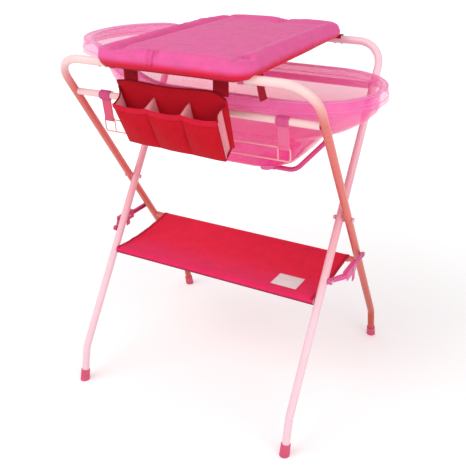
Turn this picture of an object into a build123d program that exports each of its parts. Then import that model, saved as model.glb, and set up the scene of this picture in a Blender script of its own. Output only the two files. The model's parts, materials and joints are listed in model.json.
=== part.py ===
# Folding changing table with a baby bathtub under the changing mat.
# X runs along the top bars to the right, Y to the back, Z up, in millimetres.
# The origin is on the floor under the middle of the stand.
from build123d import *
import math
import os

# Stand
top_bar_height = 900.0
top_bar_offset = 256.6
foot_bend_height = 95.6
foot_bend_offset = 276.6
foot_offset = 298.0
front_hoop_half_width = 332.0
hoop_gap = 2.5
frame_tube_radius = 10.0
frame_tube_wall = 1.5
front_corner_radius = 75.0
rear_corner_radius = 66.0
foot_bend_radius = 45.0
bar_end_run = 38.5
spigot_length = 36.0
neck_length = 4.0

# Clearances
fit_gap = 0.1
seat_gap = 0.3
running_gap = 0.05
cut_overrun = 40.0

# Cross tubes
rail_drop = 97.0
rail_radius = 8.5
rail_wall = 1.3
shelf_tube_radius = 8.0
shelf_front_height = 333.0
shelf_rear_height = 345.0

# Foot caps
cap_length = 30.0
cap_bottom_radius = 13.4
cap_top_radius = 12.0
cap_floor = 4.0

# Rivets of the top bars
rivet_radius = 2.0
rivet_head_radius = 3.4
rivet_head_height = 1.4
rivet_length = 5.5
rivet_insets = (9.0, 27.0)

# Scissor pivots
bolt_radius = 3.0
bolt_head_radius = 7.0
bolt_head_height = 3.6
bolt_head_round = 1.4
spacer_radius = 8.0
nut_radius = 6.4
nut_height = 5.0
bolt_tail = 1.5

# Folding stays
stay_drop = 132.9
stay_plane_gap = 0.6
channel_width = 12.4
channel_wall = 2.0
channel_height = 24.0
channel_tail = 20.0
channel_reach = 46.0
rear_link_width = 6.0
rear_link_height = 13.0
stay_arm_height = 11.0
stay_arm_width = 9.0
stay_eye_radius = 7.5
stay_eye_gap = 2.0
stay_tab_length = 22.0
stay_tab_width = 16.0
stay_tab_inset = 8.0
pin_radius = 3.0
pin_head_radius = 5.5
pin_head_height = 1.8
stud_collar_radius = 5.0
stud_depth = 6.0

# Tub
tub_half_length = 396.0
lip_inset = 2.3
lip_height = 30.2
tub_corner_radius = 180.0
tub_depth = 192.0
tub_wall = 3.0
tub_rim_width = 13.0
tub_head_rise = 78.0
wall_shrink_share = 0.7
section_height_shares = (0.0, 0.115, 0.26, 0.443, 0.547, 0.677, 0.844, 1.0, 1.41)
section_right_shares = (0.52, 0.572, 0.623, 0.717, 0.857, 0.985, 0.995, 1.0, 1.01)
section_left_shares = (0.504, 0.566, 0.618, 0.67, 0.712, 0.764, 0.805, 0.852, 0.975)
section_width_shares = (0.64, 0.69, 0.77, 0.85, 0.875, 0.905, 0.935, 0.975, 1.0)
section_corner_shares = (0.72, 0.72, 0.72, 0.74, 0.78, 0.84, 0.90, 0.94, 0.95)
rim_rise_start_share = 0.177
rim_rise_end_share = 0.727

# Drain
drain_end_run = 74.0
drain_y = -40.0
drain_pipe_radius = 15.0
drain_bore_radius = 11.0
drain_flange_radius = 22.0
drain_flange_height = 2.5
drain_pipe_length = 24.0
drain_pipe_floor = 3.0
drain_nut_radius = 21.0
drain_nut_height = 6.0
spout_radius = 7.5
spout_length = 9.0
plug_shank_length = 11.0
plug_head_radius = 15.0
plug_head_height = 4.0
plug_grip_radius = 4.5
plug_grip_height = 9.0
hose_radius = 6.0
hose_bore_radius = 4.0
hose_wall_gap = 8.0
hose_wall_section = 3
hose_bend_radius = 42.0
hose_cap_length = 9.0
hose_cap_radius = 7.5

# Changing mat
mat_shift = 10.0
mat_end_run = 12.0
mat_front_overhang = 50.4
mat_back_overhang = 6.4
mat_border_radius = 17.5
mat_border_flat = 3.0
mat_front_drop = 7.0
mat_corner_radius = 44.0
mat_side_draw = 3.0
mat_support_gap = 2.6
board_thickness = 4.0
board_inset = 40.0
pad_thickness = 11.0
pad_crown = 3.0
pad_crown_share = 0.5
tuft_radius = 9.0
tuft_depth = 4.0
tuft_front_shares = (-0.5, 0.62)
tuft_back_shares = (0.45,)
hook_width = 13.0
hook_inset = 30.0
hook_thickness = 2.2
hook_drop = 9.0
saddle_width = 30.0
saddle_inset = 29.0
saddle_thickness = 1.8
saddle_mouth_degrees = 22.0
sleeve_width = 46.0
sleeve_thickness = 1.6
strap_tab_width = 32.0
strap_tab_length = 60.0
strap_tab_thickness = 2.0
strap_tab_drop = 34.0

# Organiser bag
bag_strap_run = 24.0
bag_bottom_shrink = 12.0
bag_lean = 34.0
bag_shift = 2.0
bag_hang = 36.0
bag_back_height = 118.0
bag_mouth_drop = 40.0
bag_bottom_sag = 8.0
bag_back_gap = 0.4
bag_depth_top = 50.0
bag_depth_bottom = 38.0
bag_sheet = 2.0
pocket_wall = 2.2
bag_pocket_count = 3
binding_height = 9.0
binding_thickness = 1.2
strap_width = 38.0
strap_end_run = 89.0
strap_thickness = 1.5

# Towel rack
clip_leg_run = 95.0
clip_width = 30.0
clip_thickness = 3.0
clip_rib_width = 2.4
clip_rib_height = 0.9
clip_rib_count = 5
clip_tab_width = 26.0
clip_tab_thickness = 3.0
clip_lip_gap = 1.0
wire_radius = 1.75
wire_corner_radius = 6.0
short_wire_radius = 1.5
wire_eye_radius = 4.4
rack_drop = 63.0
rack_height = 31.0
rack_set_back = 9.0
rack_end_half_width = 15.0

# Shelf
shelf_edge_gap = 1.5
fabric_thickness = 1.3
shelf_sag = 6.0
patch_width = 70.0
patch_depth = 58.0
patch_thickness = 0.8
patch_edge_run = 94.0
patch_inset = 18.0

# Worked out from the sizes above
rear_hoop_half_width = front_hoop_half_width - 2 * frame_tube_radius - hoop_gap
bar_joint = rear_hoop_half_width - rear_corner_radius - bar_end_run
bar_bore_radius = frame_tube_radius - frame_tube_wall
leg_lean = (top_bar_offset + foot_bend_offset) / (top_bar_height - foot_bend_height)
pivot_height = top_bar_height - top_bar_offset / leg_lean
foot_lean = (foot_offset - foot_bend_offset) / foot_bend_height
stay_height = pivot_height - stay_drop
stay_half_span = stay_drop * leg_lean
stay_inner_face = front_hoop_half_width + frame_tube_radius + stay_plane_gap
stay_middle = stay_inner_face + channel_width / 2
rail_height = top_bar_height - rail_drop
rail_top = rail_height + rail_radius
tub_half_width = (rail_height - pivot_height) * leg_lean - lip_inset
tub_rim_height = rail_top + seat_gap + lip_height
tub_floor_height = tub_rim_height - tub_depth
drain_x = section_right_shares[0] * (tub_half_length - tub_rim_width) - drain_end_run
mat_half_width = bar_joint - mat_end_run
hook_spacing = mat_half_width - hook_inset
saddle_spacing = mat_half_width - saddle_inset
mat_underside = top_bar_height + frame_tube_radius + mat_support_gap
mat_front = top_bar_offset + mat_front_overhang
mat_back = top_bar_offset + mat_back_overhang
strap_spacing = bar_joint - strap_end_run
bag_half_width = strap_spacing + bag_strap_run
bag_back_top = top_bar_height - bag_hang
bag_back_bottom = bag_back_top - bag_back_height
bag_front_top = bag_back_top - bag_mouth_drop
bag_front_bottom = bag_back_bottom - bag_bottom_sag
clip_spacing = front_hoop_half_width - clip_leg_run
shelf_half_width = rear_hoop_half_width - frame_tube_radius - shelf_edge_gap
patch_side = shelf_half_width - patch_edge_run

os.makedirs("parts", exist_ok=True)


def leg_y(height):
    """How far a leg of the inner hoop stands behind the middle plane at a height."""
    return (height - pivot_height) * leg_lean


def rod_x(x_from, x_to, y, z, radius):
    """Solid round bar along X between two places."""
    low = min(x_from, x_to)
    length = abs(x_to - x_from)
    bar = Cylinder(radius, length, align=(Align.CENTER, Align.CENTER, Align.MIN))
    return Pos(low, y, z) * Rot(0, 90, 0) * bar


def tube_x(x_from, x_to, y, z, radius, wall):
    """Hollow round tube along X between two places."""
    return rod_x(x_from, x_to, y, z, radius) - rod_x(x_from, x_to, y, z, radius - wall)


def rod_between(start, end, radius):
    """Solid round bar between two points."""
    start = Vector(*start)
    end = Vector(*end)
    plane = Plane(origin=start, z_dir=(end - start).normalized())
    length = (end - start).length
    return plane * Cylinder(radius, length, align=(Align.CENTER, Align.CENTER, Align.MIN))


def swept_tube(points, bend_radii, radius, wall):
    """Bent hollow tube along straight runs joined by arcs."""
    path = FilletPolyline(*points, radius=bend_radii)
    start = Plane(origin=path @ 0, z_dir=path % 0)
    outer = sweep(start * Circle(radius), path=path)
    inner = sweep(start * Circle(radius - wall), path=path)
    return outer - inner


def box_between(low, high):
    """Box from its lowest to its highest corner."""
    size = [b - a for a, b in zip(low, high)]
    place = Pos(*[(a + b) / 2 for a, b in zip(low, high)])
    return place * Box(*size)


def below(height):
    """Everything under a height, to cut feet and tube ends level."""
    reach = 2 * top_bar_height
    return box_between((-reach, -reach, height - reach), (reach, reach, height))


def above(height):
    """Everything over a height."""
    reach = 2 * top_bar_height
    return box_between((-reach, -reach, height), (reach, reach, height + reach))


def prism_x(points, x_from, x_to):
    """Straight prism along X over an outline of (y, z) points."""
    outline = [(x_from, y, z) for y, z in points]
    face = make_face(Polyline(*outline, close=True))
    return extrude(face, amount=x_to - x_from, dir=(1, 0, 0))


def write(name, shape):
    export_step(shape, f"parts/{name}.step")


# Hoops of the stand. facing is -1 where the top bar is at the front, +1 where it is at the back.
def top_bar(facing):
    y = facing * top_bar_offset
    bar = tube_x(-bar_joint, bar_joint, y, top_bar_height, frame_tube_radius, frame_tube_wall)
    return bar - rivet_holes(facing)


def rivet_places():
    return [side * (bar_joint - inset) for side in (-1, 1) for inset in rivet_insets]


def rivet_holes(facing):
    y = facing * top_bar_offset
    bottom = top_bar_height - frame_tube_radius - rivet_head_height
    hole = Cylinder(
        rivet_radius + running_gap, rivet_head_height + rivet_length,
        align=(Align.CENTER, Align.CENTER, Align.MIN),
    )
    return [Pos(x, y, bottom) * hole for x in rivet_places()]


def bar_rivets(facing):
    y = facing * top_bar_offset
    top = top_bar_height - frame_tube_radius - fit_gap
    shank = Cylinder(
        rivet_radius, rivet_length - rivet_head_height,
        align=(Align.CENTER, Align.CENTER, Align.MIN),
    )
    head = Cylinder(
        rivet_head_radius, rivet_head_height,
        align=(Align.CENTER, Align.CENTER, Align.MAX),
    )
    head = fillet(head.edges().group_by(Axis.Z)[0], rivet_head_height / 2)
    rivet = head + shank
    return Compound([Pos(x, y, top) * rivet for x in rivet_places()])


def hoop_leg(side, facing, half_width, corner_radius):
    top_y = facing * top_bar_offset
    tail = foot_offset + foot_lean * cap_length
    points = [
        (side * bar_joint, top_y, top_bar_height),
        (side * half_width, top_y, top_bar_height),
        (side * half_width, -facing * foot_bend_offset, foot_bend_height),
        (side * half_width, -facing * tail, -cap_length),
    ]
    leg = swept_tube(points, [corner_radius, foot_bend_radius], frame_tube_radius, frame_tube_wall)
    leg = leg - below(cap_floor + fit_gap)
    neck_end = side * (bar_joint + neck_length)
    spigot_tip = side * (bar_joint - spigot_length)
    spigot_radius = bar_bore_radius - fit_gap
    neck_bore = spigot_radius - frame_tube_wall
    neck = rod_x(side * bar_joint, neck_end, top_y, top_bar_height, bar_bore_radius + fit_gap)
    spigot = rod_x(spigot_tip, neck_end, top_y, top_bar_height, spigot_radius)
    bore = rod_x(spigot_tip, neck_end, top_y, top_bar_height, neck_bore)
    leg = leg + ((neck + spigot) - bore)
    leg = leg - rivet_holes(facing)
    reach = frame_tube_radius + fit_gap
    hole = rod_x(
        side * (half_width - reach), side * (half_width + reach), 0, pivot_height,
        bolt_radius + running_gap,
    )
    return leg - hole


def front_frame_leg(side):
    leg = hoop_leg(side, -1, front_hoop_half_width, front_corner_radius)
    outside = side * (front_hoop_half_width + frame_tube_radius + fit_gap)
    stud_hole = rod_x(
        side * front_hoop_half_width, outside, stay_half_span, stay_height,
        pin_radius + running_gap,
    )
    return leg - stud_hole


def foot_cap(side, facing, half_width):
    """Flared cap on the tube end, flat on the floor."""
    foot = (side * half_width, -facing * foot_offset, 0)
    up = (0, facing * foot_lean, 1)
    axis = Plane(origin=foot, z_dir=up)
    bottom = (Align.CENTER, Align.CENTER, Align.MIN)
    stretch = Pos(0, 0, -cap_bottom_radius)
    outer_length = cap_length + cap_bottom_radius
    outer = axis * stretch * Cone(cap_bottom_radius, cap_top_radius, outer_length, align=bottom)
    bore = axis * stretch * Cylinder(frame_tube_radius + fit_gap, 2 * outer_length, align=bottom)
    bore = bore - below(cap_floor)
    return outer - bore - below(0)


def cross_tube(half_width, y, z, radius, wall):
    """Tube between the two legs of a hoop, cut square and set against them."""
    end = half_width - frame_tube_radius - seat_gap
    return tube_x(-end, end, y, z, radius, wall)


# Scissor pivots
def pivot_bolts():
    bolts = []
    for side in (-1, 1):
        head_face = front_hoop_half_width + frame_tube_radius + seat_gap
        nut_face = rear_hoop_half_width - frame_tube_radius - seat_gap
        tip = nut_face - nut_height - bolt_tail
        head = rod_x(
            side * head_face, side * (head_face + bolt_head_height), 0, pivot_height,
            bolt_head_radius,
        )
        rim = head.edges().filter_by(GeomType.CIRCLE).sort_by(Axis.X)[-1 if side > 0 else 0]
        head = fillet(rim, bolt_head_round)
        shank = rod_x(side * tip, side * head_face, 0, pivot_height, bolt_radius)
        bolts.append(head + shank)
    return Compound(bolts)


def pivot_nuts():
    nuts = []
    for side in (-1, 1):
        face = rear_hoop_half_width - frame_tube_radius - seat_gap
        hexagon = extrude(RegularPolygon(nut_radius, 6), amount=nut_height)
        nut = Pos(side * face, 0, pivot_height) * Rot(0, -side * 90, 0) * hexagon
        bore = rod_x(
            side * (face - nut_height), side * face, 0, pivot_height, bolt_radius + running_gap
        )
        nuts.append(nut - bore)
    return Compound(nuts)


def pivot_spacers():
    inner = rear_hoop_half_width + frame_tube_radius + seat_gap
    outer = inner + hoop_gap - 2 * seat_gap
    rings = []
    for side in (-1, 1):
        ring = rod_x(side * inner, side * outer, 0, pivot_height, spacer_radius)
        bore = rod_x(side * inner, side * outer, 0, pivot_height, bolt_radius + fit_gap)
        rings.append(ring - bore)
    return Compound(rings)


# Folding stays. The middle pin is on the middle plane, the ends are on the legs.
def stay_rear(side):
    """Flat link from the stud on the outer leg to the middle pin."""
    low = stay_middle - rear_link_width / 2
    high = stay_middle + rear_link_width / 2
    half = rear_link_height / 2
    link = box_between((low, 0, stay_height - half), (high, stay_half_span, stay_height + half))
    for y in (0, stay_half_span):
        link = link + rod_x(low, high, y, stay_height, half)
    for y in (0, stay_half_span):
        link = link - rod_x(low, high, y, stay_height, pin_radius + running_gap)
    return link if side > 0 else mirror(link, about=Plane.YZ)


def stay_front(side):
    """Channel over the middle pin with a finger tab, and an arm that steps in to the inner leg.

    The channel is open below and at its front, so that the rear link can fold into it.
    """
    low = stay_inner_face
    high = stay_inner_face + channel_width
    half = channel_height / 2
    bottom = stay_height - half
    channel = box_between((low, -channel_reach, bottom), (high, channel_tail, stay_height + half))
    slot_top = stay_height + half - channel_wall
    slot = box_between(
        (low + channel_wall, -channel_reach + channel_wall, bottom - half),
        (high - channel_wall, channel_tail + half, slot_top),
    )
    mouth = box_between(
        (low + channel_wall, -channel_reach - channel_wall, bottom - half),
        (high - channel_wall, -channel_reach + 2 * channel_wall, stay_height - stay_arm_height / 2),
    )
    channel = channel - slot - mouth
    tab_back = channel_tail - stay_tab_inset
    tab = box_between(
        (high - channel_wall, tab_back - stay_tab_width, bottom - stay_tab_length),
        (high, tab_back, stay_height),
    )
    eye_low = rear_hoop_half_width + frame_tube_radius + stay_eye_gap
    eye_high = eye_low + stay_arm_width
    eye_middle = eye_low + stay_arm_width / 2
    arm_half = stay_arm_height / 2
    root = Plane(origin=(stay_middle, -channel_reach + channel_wall, stay_height), z_dir=(0, -1, 0))
    tip_y = -stay_half_span + stay_eye_radius
    tip = Plane(origin=(eye_middle, tip_y, stay_height), z_dir=(0, -1, 0))
    arm = loft([
        root * Rectangle(channel_width, stay_arm_height),
        tip * Rectangle(stay_arm_width, stay_arm_height),
    ])
    neck = box_between(
        (eye_low, -stay_half_span, stay_height - arm_half), (eye_high, tip_y, stay_height + arm_half)
    )
    eye = rod_x(eye_low, eye_high, -stay_half_span, stay_height, stay_eye_radius)
    link = channel + tab + arm + neck + eye
    link = link - rod_x(low, high, 0, stay_height, pin_radius + running_gap)
    link = link - rod_x(
        eye_low, eye_high, -stay_half_span, stay_height, pin_radius + running_gap
    )
    return link if side > 0 else mirror(link, about=Plane.YZ)


def stay_middle_pin(side):
    inner = stay_inner_face
    outer = stay_inner_face + channel_width + fit_gap
    pin = rod_x(inner, outer, 0, stay_height, pin_radius)
    head = rod_x(outer, outer + pin_head_height, 0, stay_height, pin_head_radius)
    pin = pin + head
    return pin if side > 0 else mirror(pin, about=Plane.YZ)


def stay_end_pin(side):
    """Pin in the eye of the arm. It stops just short of the inner leg."""
    inner = rear_hoop_half_width + frame_tube_radius + seat_gap
    outer = rear_hoop_half_width + frame_tube_radius + stay_eye_gap + stay_arm_width + fit_gap
    pin = rod_x(inner, outer, -stay_half_span, stay_height, pin_radius)
    pin = pin + rod_x(outer, outer + pin_head_height, -stay_half_span, stay_height, pin_head_radius)
    return pin if side > 0 else mirror(pin, about=Plane.YZ)


def stay_studs():
    """Studs in the outer legs, each with a collar under the link and a head over it."""
    leg_face = front_hoop_half_width + frame_tube_radius
    link_low = stay_middle - rear_link_width / 2
    link_high = stay_middle + rear_link_width / 2
    head_face = link_high + seat_gap
    studs = []
    for side in (-1, 1):
        place = (stay_half_span, stay_height)
        shank = rod_x(side * (leg_face - stud_depth), side * head_face, *place, pin_radius)
        collar = rod_x(
            side * (leg_face + seat_gap), side * (link_low - seat_gap), *place, stud_collar_radius
        )
        head = rod_x(
            side * head_face, side * (head_face + pin_head_height), *place, pin_head_radius
        )
        studs.append(shank + collar + head)
    return Compound(studs)


# Tub
def tub_section(index, shrink, lift):
    """Rounded outline of the tub wall at one height."""
    left = section_left_shares[index] * (tub_half_length - tub_rim_width) - shrink
    right = section_right_shares[index] * (tub_half_length - tub_rim_width) - shrink
    half_width = section_width_shares[index] * (tub_half_width - tub_rim_width) - shrink
    height = tub_floor_height + section_height_shares[index] * tub_depth + lift
    radius = section_corner_shares[index] * half_width
    outline = RectangleRounded(left + right, 2 * half_width, radius)
    return Pos((right - left) / 2, 0, height) * outline


def tub_body(shrink, lift):
    """Closed body of the tub, ruled from outline to outline."""
    count = len(section_height_shares)
    return loft([tub_section(i, shrink, lift) for i in range(count)], ruled=True)


def above_rim(drop):
    """Everything over the rim line, which rises to the head end, or over a line below it."""
    low = tub_rim_height - drop
    high = low + tub_head_rise
    ceiling = tub_rim_height + tub_depth
    reach = 2 * tub_half_length
    rise_end = (-rim_rise_end_share * tub_half_length, 0, high)
    rise_start = (-rim_rise_start_share * tub_half_length, 0, low)
    rise = Spline(rise_end, rise_start, tangents=((1, 0, 0), (1, 0, 0)))
    sides = Polyline(
        rise_start, (reach, 0, low), (reach, 0, ceiling), (-reach, 0, ceiling),
        (-reach, 0, high), rise_end,
    )
    face = make_face(Wire(rise.edges() + sides.edges()))
    return extrude(face, amount=2 * tub_half_width, dir=(0, 1, 0), both=True)


def under_rim_line(drop):
    """Everything under a line that runs a little below the rim line."""
    reach = 2 * tub_half_length
    block = box_between((-reach, -reach, 0), (reach, reach, tub_rim_height + tub_depth / 2))
    return block - above_rim(drop)


def rim_outline(shrink):
    """Upright prism over the outline of the rim."""
    outline = RectangleRounded(
        2 * (tub_half_length - shrink), 2 * (tub_half_width - shrink), tub_corner_radius - shrink
    )
    return Pos(0, 0, tub_floor_height) * extrude(outline, amount=2 * tub_depth)


def tub_shell():
    hollow = tub_body(wall_shrink_share * tub_wall, tub_wall)
    over = above_rim(0)
    wall = tub_body(0, 0) - hollow - over
    plate = rim_outline(0) - under_rim_line(tub_wall) - over - hollow
    lip = rim_outline(0) - rim_outline(tub_wall) - under_rim_line(lip_height) - over
    shell = wall + plate + lip
    drain_hole = Pos(drain_x, drain_y, tub_floor_height) * Cylinder(
        drain_pipe_radius + fit_gap, 4 * tub_wall
    )
    return shell - drain_hole


# Drain in the tub floor
def drain_fitting():
    """Flanged pipe through the floor, closed below, with a spout to the hose."""
    inside = tub_floor_height + tub_wall + fit_gap
    pipe_bottom = tub_floor_height - drain_pipe_length
    centre = (drain_x, drain_y)
    low = (Align.CENTER, Align.CENTER, Align.MIN)
    flange = Pos(*centre, inside) * Cylinder(drain_flange_radius, drain_flange_height, align=low)
    pipe_height = inside - pipe_bottom + drain_flange_height
    pipe = Pos(*centre, pipe_bottom) * Cylinder(drain_pipe_radius, pipe_height, align=low)
    bore = Pos(*centre, pipe_bottom + drain_pipe_floor) * Cylinder(
        drain_bore_radius, pipe_height, align=low
    )
    spout_z = pipe_bottom + drain_pipe_floor + hose_bore_radius
    spout = rod_x(drain_x, drain_x + drain_pipe_radius + spout_length, drain_y, spout_z, spout_radius)
    spout_bore = rod_x(
        drain_x, drain_x + drain_pipe_radius + spout_length, drain_y, spout_z, hose_bore_radius
    )
    return (flange + pipe + spout) - bore - spout_bore


def drain_nut():
    low = (Align.CENTER, Align.CENTER, Align.MAX)
    place = Pos(drain_x, drain_y, tub_floor_height - fit_gap)
    body = Cylinder(drain_nut_radius, drain_nut_height, align=low)
    bore = Cylinder(drain_pipe_radius + fit_gap, drain_nut_height, align=low)
    return place * (body - bore)


def drain_plug():
    seat = tub_floor_height + tub_wall + fit_gap + drain_flange_height + fit_gap
    low = (Align.CENTER, Align.CENTER, Align.MIN)
    shank = Pos(0, 0, -plug_shank_length) * Cylinder(
        drain_bore_radius - running_gap, plug_shank_length, align=low
    )
    head = Cylinder(plug_head_radius, plug_head_height, align=low)
    grip = Pos(0, 0, plug_head_height) * Cylinder(plug_grip_radius, plug_grip_height, align=low)
    return Pos(drain_x, drain_y, seat) * (shank + head + grip)


def wall_end_point(index):
    """Point of the tub's foot-end wall in the drain's plane, at one section."""
    x = section_right_shares[index] * (tub_half_length - tub_rim_width)
    return Vector(x, drain_y, tub_floor_height + section_height_shares[index] * tub_depth)


def hose_points():
    """Route of the hose: out of the spout, then up beside the sloping end wall of the tub."""
    start_x = drain_x + drain_pipe_radius + spout_length
    start_z = tub_floor_height - drain_pipe_length + drain_pipe_floor + hose_bore_radius
    low = wall_end_point(0)
    high = wall_end_point(hose_wall_section)
    along = (high - low).normalized()
    outward = Vector(along.Z, 0, -along.X)
    aside = outward * (hose_radius + hose_wall_gap)
    tip = high + aside - along * (hose_cap_length + hose_wall_gap / 2)
    turn = tip - along * ((tip.Z - start_z) / along.Z)
    return [(start_x, drain_y, start_z), tuple(turn), tuple(tip)]


def drain_hose():
    return swept_tube(hose_points(), [hose_bend_radius], hose_radius, hose_radius - hose_bore_radius)


def hose_cap():
    """Closed cap on the upper end of the hose, which lies under the tub end."""
    tip = Vector(*hose_points()[-1])
    before = Vector(*hose_points()[-2])
    along = (tip - before).normalized()
    low = (Align.CENTER, Align.CENTER, Align.MIN)
    place = Plane(origin=tip + along * fit_gap, z_dir=along)
    return place * Cylinder(hose_cap_radius, hose_cap_length, align=low)


# Changing mat
def mat_outline(inset):
    """Outline of the mat border, its sides drawn in a little between the corners."""
    left = mat_shift - mat_half_width + inset
    right = mat_shift + mat_half_width - inset
    front = -mat_front + inset
    back = mat_back - inset
    middle_x = (left + right) / 2
    middle_y = (front + back) / 2
    draw = mat_side_draw
    sides = [
        ThreePointArc((left, front), (middle_x, front + draw), (right, front)),
        ThreePointArc((right, front), (right - draw, middle_y), (right, back)),
        ThreePointArc((right, back), (middle_x, back - draw), (left, back)),
        ThreePointArc((left, back), (left + draw, middle_y), (left, front)),
    ]
    face = make_face(Wire([edge for arc in sides for edge in arc.edges()]))
    return fillet(face.vertices(), mat_corner_radius - inset)


def mat_border_height():
    return mat_underside + mat_border_radius - mat_border_flat


def mat_pad():
    """Padded cover: a rolled border round a crowned middle, tufted where it is sewn through."""
    ring_face = Pos(0, 0, mat_border_height()) * mat_outline(mat_border_radius)
    path = ring_face.face().outer_wire()
    start = Plane(origin=path @ 0, z_dir=path % 0)
    border = sweep(start * Circle(mat_border_radius), path=path)
    slab_bottom = mat_underside + board_thickness
    slab = Pos(0, 0, slab_bottom) * extrude(mat_outline(mat_border_radius), amount=pad_thickness)
    middle_y = (mat_back - mat_front) / 2
    crown_base = slab_bottom + pad_thickness
    crown_top = Rectangle(
        2 * pad_crown_share * mat_half_width, pad_crown_share * (mat_front + mat_back)
    )
    crown = loft([
        Pos(0, 0, crown_base - fit_gap) * mat_outline(board_inset),
        Pos(mat_shift, middle_y, crown_base + pad_crown) * crown_top,
    ])
    pad = border + slab + crown - below(mat_underside)
    return pad + mat_front_roll() - tufts()


def mat_front_roll():
    """The front of the border hangs a little lower, in front of the bar."""
    y = -mat_front + mat_side_draw + mat_border_radius
    z = mat_border_height() - mat_front_drop
    left = mat_shift - mat_half_width + mat_corner_radius
    right = mat_shift + mat_half_width - mat_corner_radius
    ball = Sphere(mat_border_radius)
    return rod_x(left, right, y, z, mat_border_radius) + Pos(left, y, z) * ball + Pos(right, y, z) * ball


def tufts():
    """Round dents where the border is sewn through."""
    top = mat_border_height() + mat_border_radius + tuft_radius - tuft_depth
    front = -mat_front + mat_border_radius
    back = mat_back - mat_border_radius
    places = [(share, front) for share in tuft_front_shares]
    places = places + [(share, back) for share in tuft_back_shares]
    return [Pos(mat_shift + s * mat_half_width, y, top) * Sphere(tuft_radius) for s, y in places]


def mat_board():
    board = Pos(0, 0, mat_underside) * extrude(mat_outline(board_inset), amount=board_thickness)
    return board


def shell_over_bar(x, width, y, inner_radius, thickness, front_degrees, back_degrees):
    """Half shell on top of a bar. The angles say how far its edges stay above the bar's middle."""
    outer = rod_x(x - width / 2, x + width / 2, y, top_bar_height, inner_radius + thickness)
    inner = rod_x(x - width / 2, x + width / 2, y, top_bar_height, inner_radius)
    reach = 3 * (inner_radius + thickness)
    front = math.radians(front_degrees)
    back = math.radians(back_degrees)
    keep = prism_x(
        [
            (y, top_bar_height),
            (y - reach * math.cos(front), top_bar_height + reach * math.sin(front)),
            (y, top_bar_height + 2 * reach),
            (y + reach * math.cos(back), top_bar_height + reach * math.sin(back)),
        ],
        x - width, x + width,
    )
    return (outer - inner) & keep


def mat_front_hooks():
    """Hooks over the front bar, with a lip that drops in front of it."""
    y = -top_bar_offset
    inner = frame_tube_radius + seat_gap
    hooks = []
    for side in (-1, 1):
        x = mat_shift + side * hook_spacing
        half = hook_width / 2
        shell = shell_over_bar(x, hook_width, y, inner, hook_thickness, 0, saddle_mouth_degrees)
        lip = box_between(
            (x - half, y - inner - hook_thickness, top_bar_height - hook_drop),
            (x + half, y - inner, top_bar_height),
        )
        hooks.append((shell + lip) - above(mat_underside))
    return Compound(hooks)


def mat_hinge_saddles():
    """Saddles that sit on the rear bar."""
    inner = frame_tube_radius + seat_gap
    saddles = []
    for side in (-1, 1):
        x = mat_shift + side * saddle_spacing
        saddles.append(shell_over_bar(
            x, saddle_width, top_bar_offset, inner, saddle_thickness,
            saddle_mouth_degrees, saddle_mouth_degrees,
        ))
    return Compound(saddles)


def mat_rear_sleeves():
    """Cloth sleeves under the mat that turn on the saddles."""
    inner = frame_tube_radius + seat_gap + saddle_thickness + seat_gap
    pieces = []
    for side in (-1, 1):
        x = mat_shift + side * saddle_spacing
        shell = shell_over_bar(
            x, sleeve_width, top_bar_offset, inner, sleeve_thickness,
            saddle_mouth_degrees, saddle_mouth_degrees,
        )
        pieces.extend((shell - above(mat_underside)).solids())
    return Compound(pieces)


def mat_tie_strap():
    """Strap sewn under the right edge of the mat, hanging inside the front bar."""
    right = mat_shift + mat_half_width - mat_border_radius
    front = -top_bar_offset + 2 * frame_tube_radius + strap_tab_width / 2
    flat = box_between(
        (right - strap_tab_length / 2, front, mat_underside - strap_tab_thickness),
        (right, front + strap_tab_width, mat_underside),
    )
    hang = box_between(
        (right - strap_tab_length / 2, front, mat_underside - strap_tab_drop),
        (right - strap_tab_length / 2 + strap_tab_thickness, front + strap_tab_width, mat_underside),
    )
    return flat + hang


# Organiser bag, hung on the front bar. It leans, with its bottom pulled to the right.
def bag_back_y():
    return -top_bar_offset + frame_tube_radius / 2


def bag_side_x(side, height):
    """Edge of the bag at a height."""
    down = (bag_back_top - height) / (bag_back_top - bag_back_bottom)
    half = bag_half_width - bag_bottom_shrink * down
    return bag_shift + side * half + bag_lean * (down - 0.5)


def bag_face(y, top, bottom):
    """Upright four-cornered sheet of the bag."""
    corners = [
        (bag_side_x(-1, bottom), y, bottom),
        (bag_side_x(1, bottom), y, bottom),
        (bag_side_x(1, top), y, top),
        (bag_side_x(-1, top), y, top),
    ]
    return make_face(Polyline(*corners, close=True))


def bag_back_panel():
    panel = bag_face(bag_back_y(), bag_back_top, bag_back_bottom)
    return extrude(panel, amount=bag_sheet, dir=(0, 1, 0))


def bag_binding():
    """Edge binding along the top of the back panel, front side."""
    strip = bag_face(bag_back_y() - fit_gap, bag_back_top, bag_back_top - binding_height)
    return extrude(strip, amount=binding_thickness, dir=(0, -1, 0))


def pocket_block(inset, x_left, x_right, floor_lift, top_rise):
    """Block between the back panel and the sloping pocket front, between two side edges.

    x_left and x_right are places across the bag, 0 at its left edge and 1 at its right edge.
    """
    back = bag_back_y() - bag_back_gap
    corners = []
    levels = (
        (bag_back_bottom + floor_lift, back),
        (bag_front_bottom + floor_lift, back - bag_depth_bottom + inset),
        (bag_front_top + top_rise, back - bag_depth_top + inset),
        (bag_front_top + top_rise, back),
    )
    for share, gap in ((x_left, inset), (x_right, -inset)):
        wire_points = []
        for height, y in levels:
            left = bag_side_x(-1, height)
            right = bag_side_x(1, height)
            wire_points.append((left + share * (right - left) + gap, y, height))
        corners.append(make_face(Polyline(*wire_points, close=True)))
    return loft(corners, ruled=True)


def bag_pockets():
    """Pocket front, bottom, gussets and the double walls between the pockets."""
    body = pocket_block(0, 0, 1, 0, 0)
    for i in range(bag_pocket_count):
        left = i / bag_pocket_count
        right = (i + 1) / bag_pocket_count
        body = body - pocket_block(pocket_wall, left, right, bag_sheet, cut_overrun)
    return body


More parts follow.
